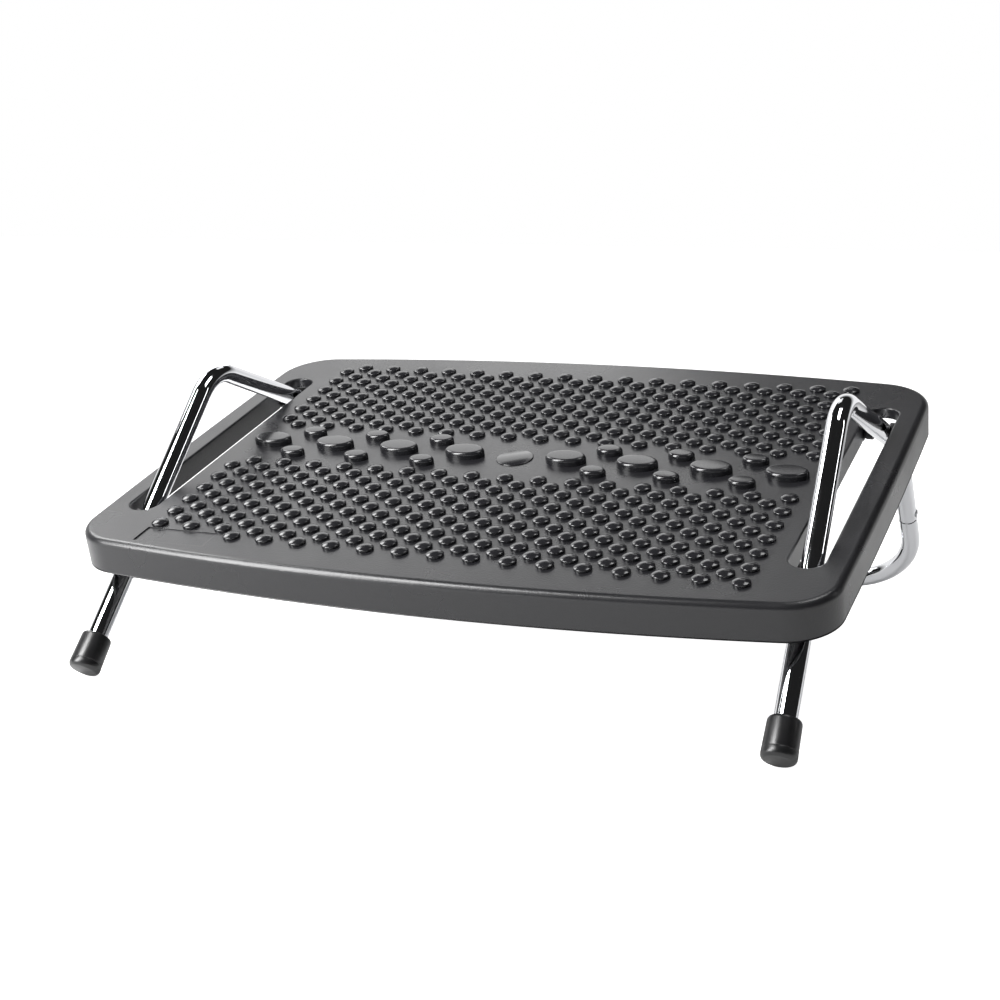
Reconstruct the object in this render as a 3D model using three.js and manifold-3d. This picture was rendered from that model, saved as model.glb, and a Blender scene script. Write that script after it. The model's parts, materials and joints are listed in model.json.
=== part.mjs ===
// Tilting under-desk footrest: a studded footplate hung by a friction hinge in a frame of bent tube.
// Millimetres, +Z up, -Y is the front. The origin is on the floor, under the middle of the outline.
import * as THREE from "three";
import { mergeGeometries, mergeVertices } from "three/addons/utils/BufferGeometryUtils.js";
import Module from "manifold-3d";

const wasm = await Module();
wasm.setup();

// Clearances
const fitClearance = 0.3;
const overrun = 3;

// Tube frame: two side tubes and one rear tube
const tubeRadius = 6;
const tubeWall = 1.2;
const apexHeight = 165.9;
const tubeInset = 23.9;
const apexLean = 2.4;
const footSplay = 2.5;
const apexBendRadius = 31;
const rearBendRadius = 30;
const crossbarBendRadius = 53;
const frontLegPitch = 49.3;
const slopePitch = 16.1;
const rearLegPitch = 50;
const bendAngleStep = 15;

// Rubber ferrules on the front feet
const ferruleRadius = 8.8;
const ferruleBandRadius = 9.5;
const ferruleBandLength = 5;
const ferruleLength = 22;
const ferruleFloor = 3.5;
const ferruleEdge = 1.4;

// Rubber sleeves on the crossbar
const sleeveRadius = 8.7;
const sleeveLength = 35;
const sleeveBendGap = 1;
const sleeveEdge = 1;

// Plugs and screws in the tube joints
const spigotUpperLength = 22;
const spigotLowerLength = 15;
const spigotBendGap = 4.3;
const jointScrewRadius = 1.5;
const jointScrewHeadRadius = 2.8;
const jointScrewHeadHeight = 1.4;
const jointScrewLength = 4.5;
const jointScrewRise = 4.5;

// Footplate, in its own frame: z is 0 on the deck, y is 0 at mid depth
const deckPitch = 15.5;
const plateHalfWidth = 224.9;
const plateHalfDepth = 159;
const plateSideBow = 1.6;
const plateEndBow = 15;
const frontCornerRadius = 30;
const rearCornerRadius = 34;
const skirtDepth = 21;
const skirtWall = 2.5;
const deckSkin = 3;
const deckEdgeRadius = 3;

// Slots for the side tubes
const slotSideGap = 3.5;
const slotFrontGap = 4.7;
const slotBehindPivot = 12.2;
const slotWall = 2.5;
const slotSideDepth = 15;
const slotSideSetback = 14;
const slotEndDepth = 7;

// Stiffening ribs across the underside of the deck
const ribThickness = 2;
const ribDepth = 12;
const ribSpacing = 35;
const ribEndMargin = 36;
const hardwarePocketGap = 0.25;

// Recessed label field
const labelLength = 46;
const labelWidth = 16.8;
const labelDepth = 0.5;
const labelSideMargin = 11.7;
const labelFrontMargin = 16.5;

// Studs: two blocks of staggered rows
const studRadius = 4.9;
const studTopRadius = 3.4;
const studHeight = 2.7;
const studPitch = 21.15;
const studRowPitch = 8.3;
const studSideMargin = 11;
const studEndMargin = 25.2;
const blockGap = 58.4;
const studRoot = 1;

// Oval pads and the disc along the band between the blocks
const padHalfWidth = 12.6;
const padHalfDepth = 8;
const padHeight = 5;
const padEdge = 1.5;
const padPitch = 44.4;
const firstPadOffset = 32.7;
const smallPadHalfWidth = 8;
const smallPadHalfDepth = 5.5;
const smallPadHeight = 4.4;
const smallPadRowOffset = 15.3;
const discRadius = 11.3;
const discHeight = 0.6;

// Hinge: its place on the tube's slope and in the footplate
const apexToPivotLength = 115.6;
const bendBehindPivot = 53.2;
const pivotDrop = 10.1;
const cheekThickness = 4;
const cheekHalfLength = 11;
const cheekBelowPivot = 8.9;
const boltRadius = 2.5;
const boltHeadRadius = 4.6;
const boltHeadHeight = 3.5;
const boltTail = 0.5;
const nutHeight = 4;
const washerRadius = 5;
const washerThickness = 1;
const springWasherRadius = 4.4;
const springWasherThickness = 1.2;
const springWasherSlit = 0.8;
const bushRadius = 5.4;
const bushSaddleDepth = 1;
const bushSpigotWall = 0.8;
const bushSpigotReach = 2;

// Facets of the round shapes
const tubeSides = 12;
const rubberSides = 16;
const smallSides = 12;
const studSides = 5;
const padSides = 10;
const hexSides = 6;
const cornerSteps = 6;
const edgeSteps = 4;
const slotEndSteps = 8;
const edgeRoundSteps = 3;

// Worked out from the sizes above
const tubeBore = tubeRadius - tubeWall;
const rearHalfSpan = plateHalfWidth - tubeInset;
const apexHalfSpan = rearHalfSpan - apexLean;
const footHalfSpan = rearHalfSpan + footSplay;
const slopeRun = apexToPivotLength + bendBehindPivot;
const pivotShare = apexToPivotLength / slopeRun;
const sleeveOuterEnd = rearHalfSpan - crossbarBendRadius - sleeveBendGap;
const cheekDepth = pivotDrop + cheekBelowPivot;
const boltHoleRadius = boltRadius + fitClearance;
const screwHoleRadius = jointScrewRadius + fitClearance;
const bushSpigotRadius = boltHoleRadius + bushSpigotWall;
const tubeHoleRadius = bushSpigotRadius + fitClearance;
const cutReach = tubeRadius + overrun;
const sides = [
  { name: "left", sign: -1 },
  { name: "right", sign: 1 },
];

// A slot runs from behind the hinge to ahead of the front leg where that passes the slot's end wall.
const slopeToDeck = THREE.MathUtils.degToRad(slopePitch + deckPitch);
const legToDeck = THREE.MathUtils.degToRad(frontLegPitch - deckPitch);
const apexAbovePivot = apexToPivotLength * Math.sin(slopeToDeck);
const apexAheadOfPivot = apexToPivotLength * Math.cos(slopeToDeck);
const legAheadOfApex = (apexAbovePivot - pivotDrop + slotEndDepth) / Math.tan(legToDeck);
const slotAheadOfLeg = tubeRadius / Math.sin(legToDeck) + slotFrontGap;
const slotHalfLength = (slotBehindPivot + apexAheadOfPivot + legAheadOfApex + slotAheadOfLeg) / 2;
const slotSideHalfLength = slotHalfLength - slotSideSetback;
const slotHalfWidth = tubeRadius + slotSideGap;
const slotHalfSpan = apexHalfSpan + pivotShare * (rearHalfSpan - apexHalfSpan);
const slotInnerEdge = slotHalfSpan - slotHalfWidth;
const pivotBehindMiddle = slotHalfLength - slotBehindPivot;

// The label field's corner, and counts that fill the plate with studs, pads and ribs
const labelLeft = slotInnerEdge - labelSideMargin;
const labelFront = plateHalfDepth - labelFrontMargin;
const studReach = slotInnerEdge - studSideMargin - studRadius;
const studsPerRow = Math.floor((2 * studReach) / studPitch - 1 / 2) + 1;
const rowReach = plateHalfDepth - studEndMargin - studRadius - blockGap / 2;
const rowsPerBlock = Math.floor(rowReach / studRowPitch) + 1;
const padReach = slotInnerEdge - studSideMargin - padHalfWidth - firstPadOffset;
const padsPerSide = Math.floor(padReach / padPitch) + 1;
const ribCount = Math.floor((2 * (plateHalfDepth - ribEndMargin)) / ribSpacing) + 1;

// Finishes
const finishes = {
  plastic: { color: 0x2b2b2d, roughness: 0.55, metalness: 0 },
  chrome: { color: 0xd9dadd, roughness: 0.08, metalness: 1 },
  rubber: { color: 0x161617, roughness: 0.7, metalness: 0 },
  zinc: { color: 0xa9abae, roughness: 0.35, metalness: 1 },
  nylon: { color: 0x202022, roughness: 0.45, metalness: 0 },
};

function radians(degrees) {
  return THREE.MathUtils.degToRad(degrees);
}

// Corner radius of a polygon whose flats lie on a radius.
function cornerRadius(flat, count) {
  return flat / Math.cos(Math.PI / count);
}

// One named piece with a finish of its own.
function piece(name, geometry, finish) {
  const mesh = new THREE.Mesh(geometry, new THREE.MeshStandardMaterial(finishes[finish]));
  mesh.name = name;
  return mesh;
}

// A closed geometry as a solid that can be joined and cut.
function solid(geometry) {
  const bare = geometry.clone();
  bare.deleteAttribute("normal");
  bare.deleteAttribute("uv");
  const merged = mergeVertices(bare);
  const vertProperties = merged.attributes.position.array;
  const triVerts = new Uint32Array(merged.index.array);
  return new wasm.Manifold(new wasm.Mesh({ numProp: 3, vertProperties, triVerts }));
}

// A solid back as a geometry.
function geometryOf(made) {
  const { vertProperties, triVerts } = made.getMesh();
  return new THREE.BufferGeometry()
    .setAttribute("position", new THREE.BufferAttribute(vertProperties, 3))
    .setIndex(new THREE.BufferAttribute(triVerts, 1));
}

// Points of an arc about a centre, without its last one unless the count takes it in.
function arcPoints(centre, radius, from, to, steps, count = steps) {
  return Array.from({ length: count }, (_, i) => {
    const angle = from + ((to - from) * i) / steps;
    return new THREE.Vector2(radius * Math.cos(angle), radius * Math.sin(angle)).add(centre);
  });
}

// A regular polygon about the origin.
function polygon(radius, count) {
  return arcPoints(new THREE.Vector2(), radius, 0, 2 * Math.PI, count);
}

// A flat ring, or a disc where the bore is zero, as a shape.
function ringShape(radius, bore, count, boreCount = count) {
  const shape = new THREE.Shape(polygon(radius, count));
  if (bore > 0) shape.holes.push(new THREE.Path(polygon(bore, boreCount)));
  return shape;
}

// A shape raised from one height to another.
function prism(shape, from, to) {
  return new THREE.ExtrudeGeometry(shape, { depth: to - from, bevelEnabled: false }).translate(0, 0, from);
}

// A shape raised along X between two stations that are counted outwards on one side.
function prismOutward(shape, sign, from, to) {
  const [low, high] = [sign * from, sign * to].sort((a, b) => a - b);
  return prism(shape, low, high).rotateY(Math.PI / 2);
}

// A box between two corners.
function block(low, high) {
  const size = high.map((value, axis) => value - low[axis]);
  const middle = high.map((value, axis) => (value + low[axis]) / 2);
  return new THREE.BoxGeometry(...size).translate(...middle);
}

// A closed stack of level convex rings, lowest first, all with the same count of points.
function ringStack(levels) {
  const count = levels[0].ring.length;
  const positions = levels.flatMap(({ ring, z }) => ring.flatMap((point) => [point.x, point.y, z]));
  const top = (levels.length - 1) * count;
  const faces = [];
  for (let i = 1; i < count - 1; i += 1) faces.push(0, i + 1, i, top, top + i, top + i + 1);
  for (let low = 0; low < top; low += count) {
    for (let i = 0; i < count; i += 1) {
      const [a, b] = [low + i, low + ((i + 1) % count)];
      faces.push(a, b, b + count, a, b + count, a + count);
    }
  }
  return new THREE.BufferGeometry()
    .setAttribute("position", new THREE.Float32BufferAttribute(positions, 3))
    .setIndex(faces);
}

// A profile of [radius, height] pairs turned about Z.
function turned(profile, count) {
  const points = profile.map(([radius, height]) => new THREE.Vector2(radius, height));
  return new THREE.LatheGeometry(points, count).rotateX(Math.PI / 2);
}

// Points and headings along a bent tube: straight runs, and arcs that touch them at the corners.
function tubeStations(corners, bendRadii) {
  const headings = corners.slice(1).map((corner, i) => corner.clone().sub(corners[i]).normalize());
  const stations = [{ point: corners[0], heading: headings[0] }];
  bendRadii.forEach((radius, i) => {
    const before = headings[i];
    const after = headings[i + 1];
    const turn = before.angleTo(after);
    const inward = after.clone().addScaledVector(before, -before.dot(after)).normalize();
    const start = corners[i + 1].clone().addScaledVector(before, -radius * Math.tan(turn / 2));
    const steps = Math.ceil(turn / radians(bendAngleStep));
    for (let k = 0; k <= steps; k += 1) {
      const angle = (turn * k) / steps;
      const point = start.clone().addScaledVector(before, radius * Math.sin(angle));
      point.addScaledVector(inward, radius * (1 - Math.cos(angle)));
      const heading = before.clone().multiplyScalar(Math.cos(angle));
      stations.push({ point, heading: heading.addScaledVector(inward, Math.sin(angle)) });
    }
  });
  stations.push({ point: corners.at(-1), heading: headings.at(-1) });
  return stations;
}

// A centre line that gives its own stations one by one, so straight runs take one step each.
class BentLine extends THREE.Curve {
  constructor(corners, bendRadii) {
    super();
    this.stations = tubeStations(corners, bendRadii);
    this.steps = this.stations.length - 1;
  }

  getPointAt(share, target = new THREE.Vector3()) {
    return target.copy(this.stations[Math.round(share * this.steps)].point);
  }

  getTangentAt(share, target = new THREE.Vector3()) {
    return target.copy(this.stations[Math.round(share * this.steps)].heading);
  }
}

// A hollow tube bent through its corners.
function bentTube(corners, bendRadii) {
  const extrudePath = new BentLine(corners, bendRadii);
  const section = ringShape(tubeRadius, tubeBore, tubeSides);
  return new THREE.ExtrudeGeometry(section, { steps: extrudePath.steps, extrudePath });
}

// The corners of the frame, with the apex over y = 0. Sign is -1 on the left and 1 on the right.
const crossbarHeight = sleeveRadius;
const footHeight = (ferruleBandRadius - ferruleEdge) * Math.cos(radians(frontLegPitch));
const legRun = (apexHeight - footHeight) / Math.tan(radians(frontLegPitch));
const bendY = slopeRun * Math.cos(radians(slopePitch));
const bendHeight = apexHeight - slopeRun * Math.sin(radians(slopePitch));
const crossbarY = bendY + (bendHeight - crossbarHeight) / Math.tan(radians(rearLegPitch));
const jointRise = crossbarBendRadius + spigotBendGap + spigotLowerLength;
const jointY = crossbarY - jointRise * Math.cos(radians(rearLegPitch));
const jointHeight = crossbarHeight + jointRise * Math.sin(radians(rearLegPitch));

function footPoint(sign) {
  return new THREE.Vector3(sign * footHalfSpan, -legRun, footHeight);
}

function apexPoint(sign) {
  return new THREE.Vector3(sign * apexHalfSpan, 0, apexHeight);
}

function bendPoint(sign) {
  return new THREE.Vector3(sign * rearHalfSpan, bendY, bendHeight);
}

function jointPoint(sign) {
  return new THREE.Vector3(sign * rearHalfSpan, jointY, jointHeight);
}

function crossbarPoint(sign) {
  return new THREE.Vector3(sign * rearHalfSpan, crossbarY, crossbarHeight);
}

function pivotPoint(sign) {
  return apexPoint(sign).lerp(bendPoint(sign), pivotShare);
}

// Directions that other pieces line up with
function legDirection(sign) {
  return apexPoint(sign).sub(footPoint(sign)).normalize();
}

function rearLegDirection(sign) {
  return crossbarPoint(sign).sub(jointPoint(sign)).normalize();
}

// Turns a geometry made along Z to point along a direction from a place.
function aimed(geometry, place, direction) {
  const turn = new THREE.Quaternion().setFromUnitVectors(new THREE.Vector3(0, 0, 1), direction);
  return geometry.applyQuaternion(turn).translate(...place);
}

// Where a joint screw enters the tube, on its outer side above the joint
function screwPlace(sign) {
  return jointPoint(sign).addScaledVector(rearLegDirection(sign), -jointScrewRise);
}

// Side tube: foot to apex, down the slope past the hinge, and down to the joint
function sideTube(sign) {
  const legStart = footPoint(sign).addScaledVector(legDirection(sign), ferruleFloor + fitClearance);
  const corners = [legStart, apexPoint(sign), bendPoint(sign), jointPoint(sign)];
  const tube = solid(bentTube(corners, [apexBendRadius, rearBendRadius]));
  const boltHole = prismOutward(ringShape(tubeHoleRadius, 0, smallSides), sign, -cutReach, cutReach);
  const screwHole = prismOutward(ringShape(screwHoleRadius, 0, smallSides), sign, 0, cutReach);
  boltHole.translate(...pivotPoint(sign));
  screwHole.translate(...screwPlace(sign));
  return geometryOf(tube.subtract(solid(boltHole)).subtract(solid(screwHole)));
}

// Rear tube: a U whose legs slope down to the crossbar on the floor
function rearTube() {
  const gap = new THREE.Vector3();
  const ends = sides.map(({ sign }) => {
    gap.copy(rearLegDirection(sign)).multiplyScalar(fitClearance);
    return jointPoint(sign).add(gap);
  });
  const corners = [ends[0], crossbarPoint(-1), crossbarPoint(1), ends[1]];
  return bentTube(corners, [crossbarBendRadius, crossbarBendRadius]);
}

// Ferrule: a cap with a swollen band near the floor and a blind bore for the leg
function ferrule(sign) {
  const bore = tubeRadius + fitClearance;
  const profile = [
    [0, 0],
    [ferruleBandRadius - ferruleEdge, 0],
    [ferruleBandRadius, ferruleEdge],
    [ferruleBandRadius, ferruleBandLength],
    [ferruleRadius, ferruleBandLength + ferruleEdge],
    [ferruleRadius, ferruleLength - ferruleEdge],
    [ferruleRadius - ferruleEdge, ferruleLength],
    [bore, ferruleLength],
    [bore, ferruleFloor],
    [0, ferruleFloor],
  ];
  return aimed(turned(profile, rubberSides), footPoint(sign), legDirection(sign));
}

// Sleeve: a rubber tube pushed over the crossbar, with a flat facet on the floor
function sleeve(sign) {
  const bore = tubeRadius + fitClearance;
  const inner = sleeveOuterEnd - sleeveLength;
  const outside = cornerRadius(sleeveRadius, rubberSides);
  const profile = [
    [bore, inner],
    [outside - sleeveEdge, inner],
    [outside, inner + sleeveEdge],
    [outside, sleeveOuterEnd - sleeveEdge],
    [outside - sleeveEdge, sleeveOuterEnd],
    [bore, sleeveOuterEnd],
    [bore, inner],
  ];
  const ring = turned(profile, rubberSides).rotateZ(Math.PI / rubberSides);
  return ring.rotateY((sign * Math.PI) / 2).translate(0, crossbarY, crossbarHeight);
}

// Spigot: the plug inside a tube joint, drilled for its screw
function spigot(sign) {
  const body = prism(
    ringShape(tubeBore - fitClearance, 0, tubeSides),
    -spigotUpperLength,
    spigotLowerLength,
  );
  const holeEnd = tubeRadius - jointScrewLength - fitClearance;
  const hole = prismOutward(ringShape(screwHoleRadius, 0, smallSides), sign, holeEnd, cutReach);
  const placed = aimed(body, jointPoint(sign), rearLegDirection(sign));
  return geometryOf(solid(placed).subtract(solid(hole.translate(...screwPlace(sign)))));
}

// Joint screw: a low round head on a short shank
function jointScrew(sign) {
  const seat = tubeRadius + fitClearance;
  const profile = [
    [0, tubeRadius - jointScrewLength],
    [jointScrewRadius, tubeRadius - jointScrewLength],
    [jointScrewRadius, seat],
    [jointScrewHeadRadius, seat],
    [jointScrewHeadRadius, seat + jointScrewHeadHeight / 2],
    [jointScrewRadius, seat + jointScrewHeadHeight],
    [0, seat + jointScrewHeadHeight],
  ];
  return turned(profile, smallSides).rotateY((sign * Math.PI) / 2).translate(...screwPlace(sign));
}

// Stations along the hinge axis, counted outwards from the middle of the slot
const cheekFace = slotHalfWidth + cheekThickness;
const plainWasherFace = cheekFace + fitClearance;
const springWasherFace = plainWasherFace + washerThickness + fitClearance;
const boltHeadFace = springWasherFace + springWasherThickness + fitClearance;
const nutFace = plainWasherFace + washerThickness + fitClearance;
const boltEnd = nutFace + nutHeight + boltTail;

// Saddle bush: a washer hollowed to sit on the tube, with a short spigot into its wall
function saddleBush(sign, facing) {
  const outer = slotHalfWidth - fitClearance;
  const side = sign * facing;
  const along = bendPoint(sign).sub(apexPoint(sign)).normalize();
  const seatShape = ringShape(tubeRadius + fitClearance, 0, smallSides);
  const seat = prism(seatShape, -bushRadius - overrun, bushRadius + overrun);
  const inner = tubeRadius - bushSaddleDepth;
  const body = solid(prismOutward(ringShape(bushRadius, 0, smallSides), side, inner, outer));
  const plugShape = ringShape(bushSpigotRadius, 0, smallSides);
  const plug = prismOutward(plugShape, side, tubeRadius - bushSpigotReach, outer - fitClearance);
  const hole = prismOutward(ringShape(boltHoleRadius, 0, smallSides), side, 0, outer + overrun);
  const made = body
    .subtract(solid(aimed(seat, new THREE.Vector3(), along)))
    .add(solid(plug))
    .subtract(solid(hole));
  return geometryOf(made).translate(...pivotPoint(sign));
}

// Pivot bolt: hexagon head on the inner side, shank through cheeks, bushes and tube
function pivotBolt(sign) {
  const headEnd = boltHeadFace + boltHeadHeight;
  const head = prismOutward(ringShape(boltHeadRadius, 0, hexSides), -sign, boltHeadFace, headEnd);
  const shankStart = -boltHeadFace - boltHeadHeight / 2;
  const shank = prismOutward(ringShape(boltRadius, 0, smallSides), sign, shankStart, boltEnd);
  return geometryOf(solid(shank).add(solid(head)));
}

function pivotNut(sign) {
  const shape = ringShape(boltHeadRadius, boltHoleRadius, hexSides, smallSides);
  return prismOutward(shape, sign, nutFace, nutFace + nutHeight);
}

function plainWasher(sign) {
  const shape = ringShape(washerRadius, boltHoleRadius, smallSides);
  return prismOutward(shape, sign, plainWasherFace, plainWasherFace + washerThickness);
}

// Spring washer: a ring with a slit
function springWasher(sign) {
  const shape = ringShape(springWasherRadius, boltHoleRadius, smallSides);
  const ring = prismOutward(shape, sign, springWasherFace, springWasherFace + springWasherThickness);
  const reach = springWasherFace + springWasherThickness + overrun;
  const slit = block([-reach, -springWasherSlit / 2, 0], [reach, springWasherSlit / 2, washerRadius]);
  return geometryOf(solid(ring).subtract(solid(slit)));
}

// The four bowed edges of the footplate, counter-clockwise from the front, as large arcs
function plateEdges() {
  const halfSpan = plateHalfWidth - plateSideBow;
  const halfRun = plateHalfDepth - plateEndBow;
  const endRadius = (halfSpan ** 2 + plateEndBow ** 2) / (2 * plateEndBow);
  const sideRadius = (halfRun ** 2 + plateSideBow ** 2) / (2 * plateSideBow);
  const endShift = endRadius - plateHalfDepth;
  const sideShift = plateHalfWidth - sideRadius;
  return [
    { centre: new THREE.Vector2(0, endShift), radius: endRadius, corner: frontCornerRadius },
    { centre: new THREE.Vector2(sideShift, 0), radius: sideRadius, corner: rearCornerRadius },
    { centre: new THREE.Vector2(0, -endShift), radius: endRadius, corner: rearCornerRadius },
    { centre: new THREE.Vector2(-sideShift, 0), radius: sideRadius, corner: frontCornerRadius },
  ];
}

// Centre of the corner arc that touches an edge and the next one from inside
function cornerCentre(edge, next) {
  const reach = edge.radius - edge.corner;
  const nextReach = next.radius - edge.corner;
  const line = next.centre.clone().sub(edge.centre);
  const distance = line.length();
  const along = (reach ** 2 - nextReach ** 2 + distance ** 2) / (2 * distance);
  const across = Math.sqrt(reach ** 2 - along ** 2);
  line.divideScalar(distance);
  const normal = new THREE.Vector2(-line.y, line.x);
  return edge.centre.clone().addScaledVector(line, along).addScaledVector(normal, across);
}

// The footplate's outline, drawn in by an inset
function plateOutline(inset) {
  const edges = plateEdges();
  const corners = edges.map((edge, i) => cornerCentre(edge, edges[(i + 1) % edges.length]));
  const points = edges.flatMap((edge, i) => {
    const next = edges[(i + 1) % edges.length];
    const from = corners.at(i - 1).clone().sub(edge.centre).angle();
    const to = corners[i].clone().sub(edge.centre).angle();
    const end = corners[i].clone().sub(next.centre).angle();
    const full = 2 * Math.PI;
    const sweep = (to - from + full) % full;
    const turn = (end - to + full) % full;
    return [
      ...arcPoints(edge.centre, edge.radius - inset, from, from + sweep, edgeSteps),
      ...arcPoints(corners[i], edge.corner - inset, to, to + turn, cornerSteps),
    ];
  });
  return new THREE.Shape(points);
}

// A slot's outline: straight sides and round ends, grown by a wall
function slotOutline(sign, wall) {
  const radius = slotHalfWidth + wall;
  const reach = slotHalfLength - slotHalfWidth;
  const points = [-1, 1].flatMap((end) => {
    const centre = new THREE.Vector2(sign * slotHalfSpan, end * reach);
    const from = end > 0 ? 0 : Math.PI;
    return arcPoints(centre, radius, from, from + Math.PI, slotEndSteps, slotEndSteps + 1);
  });
  return new THREE.Shape(points);
}

// Skirt and deck: a shallow open tray with a rounded top edge
function plateTray() {
  const full = new THREE.ExtrudeGeometry(plateOutline(0), {
    depth: skirtDepth,
    bevelSize: deckEdgeRadius,
    bevelThickness: deckEdgeRadius,
    bevelOffset: -deckEdgeRadius,
    bevelSegments: edgeRoundSteps,
  }).translate(0, 0, -skirtDepth - deckEdgeRadius);
  const reach = plateHalfWidth + overrun;
  const bottom = -skirtDepth - 2 * deckEdgeRadius - overrun;
  const below = block([-reach, -reach, bottom], [reach, reach, -skirtDepth]);
  const hollow = prism(plateOutline(skirtWall), -skirtDepth - overrun, -deckSkin);
  return solid(full).subtract(solid(below)).subtract(solid(hollow));
}

// Walls that hang down round a slot: deep along its sides, shallow at its ends
function slotWalls(sign) {
  const middle = sign * slotHalfSpan;
  const reach = slotHalfWidth + slotWall;
  const rim = prism(slotOutline(sign, slotWall), -slotEndDepth, -deckSkin / 2);
  const long = block(
    [middle - reach, -slotSideHalfLength, -slotSideDepth],
    [middle + reach, slotSideHalfLength, -deckSkin / 2],
  );
  const cheeks = block(
    [middle - cheekFace, pivotBehindMiddle - cheekHalfLength, -cheekDepth],
    [middle + cheekFace, pivotBehindMiddle + cheekHalfLength, -deckSkin / 2],
  );
  return solid(rim).add(solid(long)).add(solid(cheeks));
}

// Space for the bolt head and its washers beside the inner cheek of a slot
function hardwarePocket(sign) {
  const outer = slotHalfSpan - cheekFace;
  const inner = slotHalfSpan - boltHeadFace - boltHeadHeight - hardwarePocketGap;
  const [low, high] = [sign * inner, sign * outer].sort((a, b) => a - b);
  const halfLength = washerRadius + hardwarePocketGap;
  return block(
    [low, pivotBehindMiddle - halfLength, -cheekDepth],
    [high, pivotBehindMiddle + halfLength, -deckSkin],
  );
}

// Ribs across the underside, from slot wall to slot wall, clear of the hinge hardware
function plateRibs() {
  const half = ribThickness / 2;
  const reach = slotInnerEdge - slotWall / 2;
  const made = Array.from({ length: ribCount }, (_, i) => {
    const y = (i - (ribCount - 1) / 2) * ribSpacing;
    return block([-reach, y - half, -ribDepth], [reach, y + half, -deckSkin / 2]);
  });
  const ribs = made.map(solid).reduce((all, rib) => all.add(rib));
  return ribs.subtract(solid(hardwarePocket(-1))).subtract(solid(hardwarePocket(1)));
}

// Everything that goes right through or into the deck
function plateCuts() {
  const boltReach = cheekFace + overrun;
  const bottom = -Math.max(skirtDepth, cheekDepth) - overrun;
  const cuts = sides.flatMap(({ sign }) => [
    prism(slotOutline(sign, 0), bottom, overrun),
    block(
      [sign * slotHalfSpan - slotHalfWidth, -slotHalfLength, bottom],
      [sign * slotHalfSpan + slotHalfWidth, slotHalfLength, -slotEndDepth],
    ),
    prismOutward(ringShape(boltHoleRadius, 0, smallSides), 1, -boltReach, boltReach)
      .translate(sign * slotHalfSpan, pivotBehindMiddle, -pivotDrop),
  ]);
  const label = block(
    [-labelLeft, -labelFront, -labelDepth],
    [labelLength - labelLeft, labelWidth - labelFront, overrun],
  );
  return [...cuts, label].map(solid).reduce((all, cut) => all.add(cut));
}

// Whether a stud would reach into the label field
function reachesLabel(x, y) {
  const across = x + studRadius > -labelLeft && x - studRadius < labelLength - labelLeft;
  return across && y + studRadius > -labelFront && y - studRadius < labelWidth - labelFront;
}

// Centre of each stud. Rows are staggered by half a pitch, and make room for the label.
function studPlaces() {
  const places = [];
  const blockDepth = (rowsPerBlock - 1) * studRowPitch;
  const blockStarts = [-blockGap / 2 - blockDepth, blockGap / 2];
  blockStarts.forEach((start) => {
    for (let row = 0; row < rowsPerBlock; row += 1) {
      const stagger = ((row % 2 ? -1 : 1) * studPitch) / 4;
      for (let column = 0; column < studsPerRow; column += 1) {
        const x = stagger + (column - (studsPerRow - 1) / 2) * studPitch;
        places.push([x, start + row * studRowPitch]);
      }
    }
  });
  return places.filter(([x, y]) => !reachesLabel(x, y));
}

// Studs as low frusta rooted in the deck
function studs() {
  const stud = ringStack([
    { ring: polygon(studRadius, studSides), z: -studRoot },
    { ring: polygon(studTopRadius, studSides), z: studHeight },
  ]);
  const copies = studPlaces().map(([x, y]) => stud.clone().translate(x, y, 0));
  return solid(mergeGeometries(copies));
}

// One oval pad with a rounded rim
function oval(x, y, halfWidth, halfDepth, height, edge) {
  const rim = polygon(halfWidth, padSides);
  const face = polygon(halfWidth - edge, padSides);
  const made = ringStack([
    { ring: rim, z: -studRoot },
    { ring: rim, z: height - edge },
    { ring: face, z: height },
  ]);
  return made.scale(1, halfDepth / halfWidth, 1).translate(x, y, 0);
}

// Pads: a row of large ovals on the band, small ones between them on both sides, and the middle disc
function pads() {
  const made = [oval(0, 0, discRadius, discRadius, discHeight, discHeight / 2)];
  sides.forEach(({ sign }) => {
    for (let i = 0; i < padsPerSide; i += 1) {
      const x = sign * (firstPadOffset + i * padPitch);
      made.push(oval(x, 0, padHalfWidth, padHalfDepth, padHeight, padEdge));
      if (i === padsPerSide - 1) continue;
      [-smallPadRowOffset, smallPadRowOffset].forEach((offset) => {
        const between = x + (sign * padPitch) / 2;
        made.push(oval(between, offset, smallPadHalfWidth, smallPadHalfDepth, smallPadHeight, padEdge));
      });
    }
  });
  return solid(mergeGeometries(made));
}

// Footplate: one moulding
function footplate() {
  const walls = sides.map(({ sign }) => slotWalls(sign)).reduce((all, wall) => all.add(wall));
  const moulding = plateTray().add(walls).add(plateRibs()).subtract(plateCuts());
  return geometryOf(moulding.add(studs()).add(pads()));
}

// The fixed frame and what is pushed or screwed onto it
function frameGroup() {
  const group = new THREE.Group();
  group.add(piece("rear_tube", rearTube(), "chrome"));
  sides.forEach(({ name, sign }) => {
    group.add(
      piece(`${name}_side_tube`, sideTube(sign), "chrome"),
      piece(`${name}_front_ferrule`, ferrule(sign), "rubber"),
      piece(`${name}_rear_sleeve`, sleeve(sign), "rubber"),
      piece(`${name}_joint_spigot`, spigot(sign), "zinc"),
      piece(`${name}_joint_screw`, jointScrew(sign), "zinc"),
      piece(`${name}_inner_saddle_bush`, saddleBush(sign, -1), "nylon"),
      piece(`${name}_outer_saddle_bush`, saddleBush(sign, 1), "nylon"),
    );
  });
  return group;
}

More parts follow.
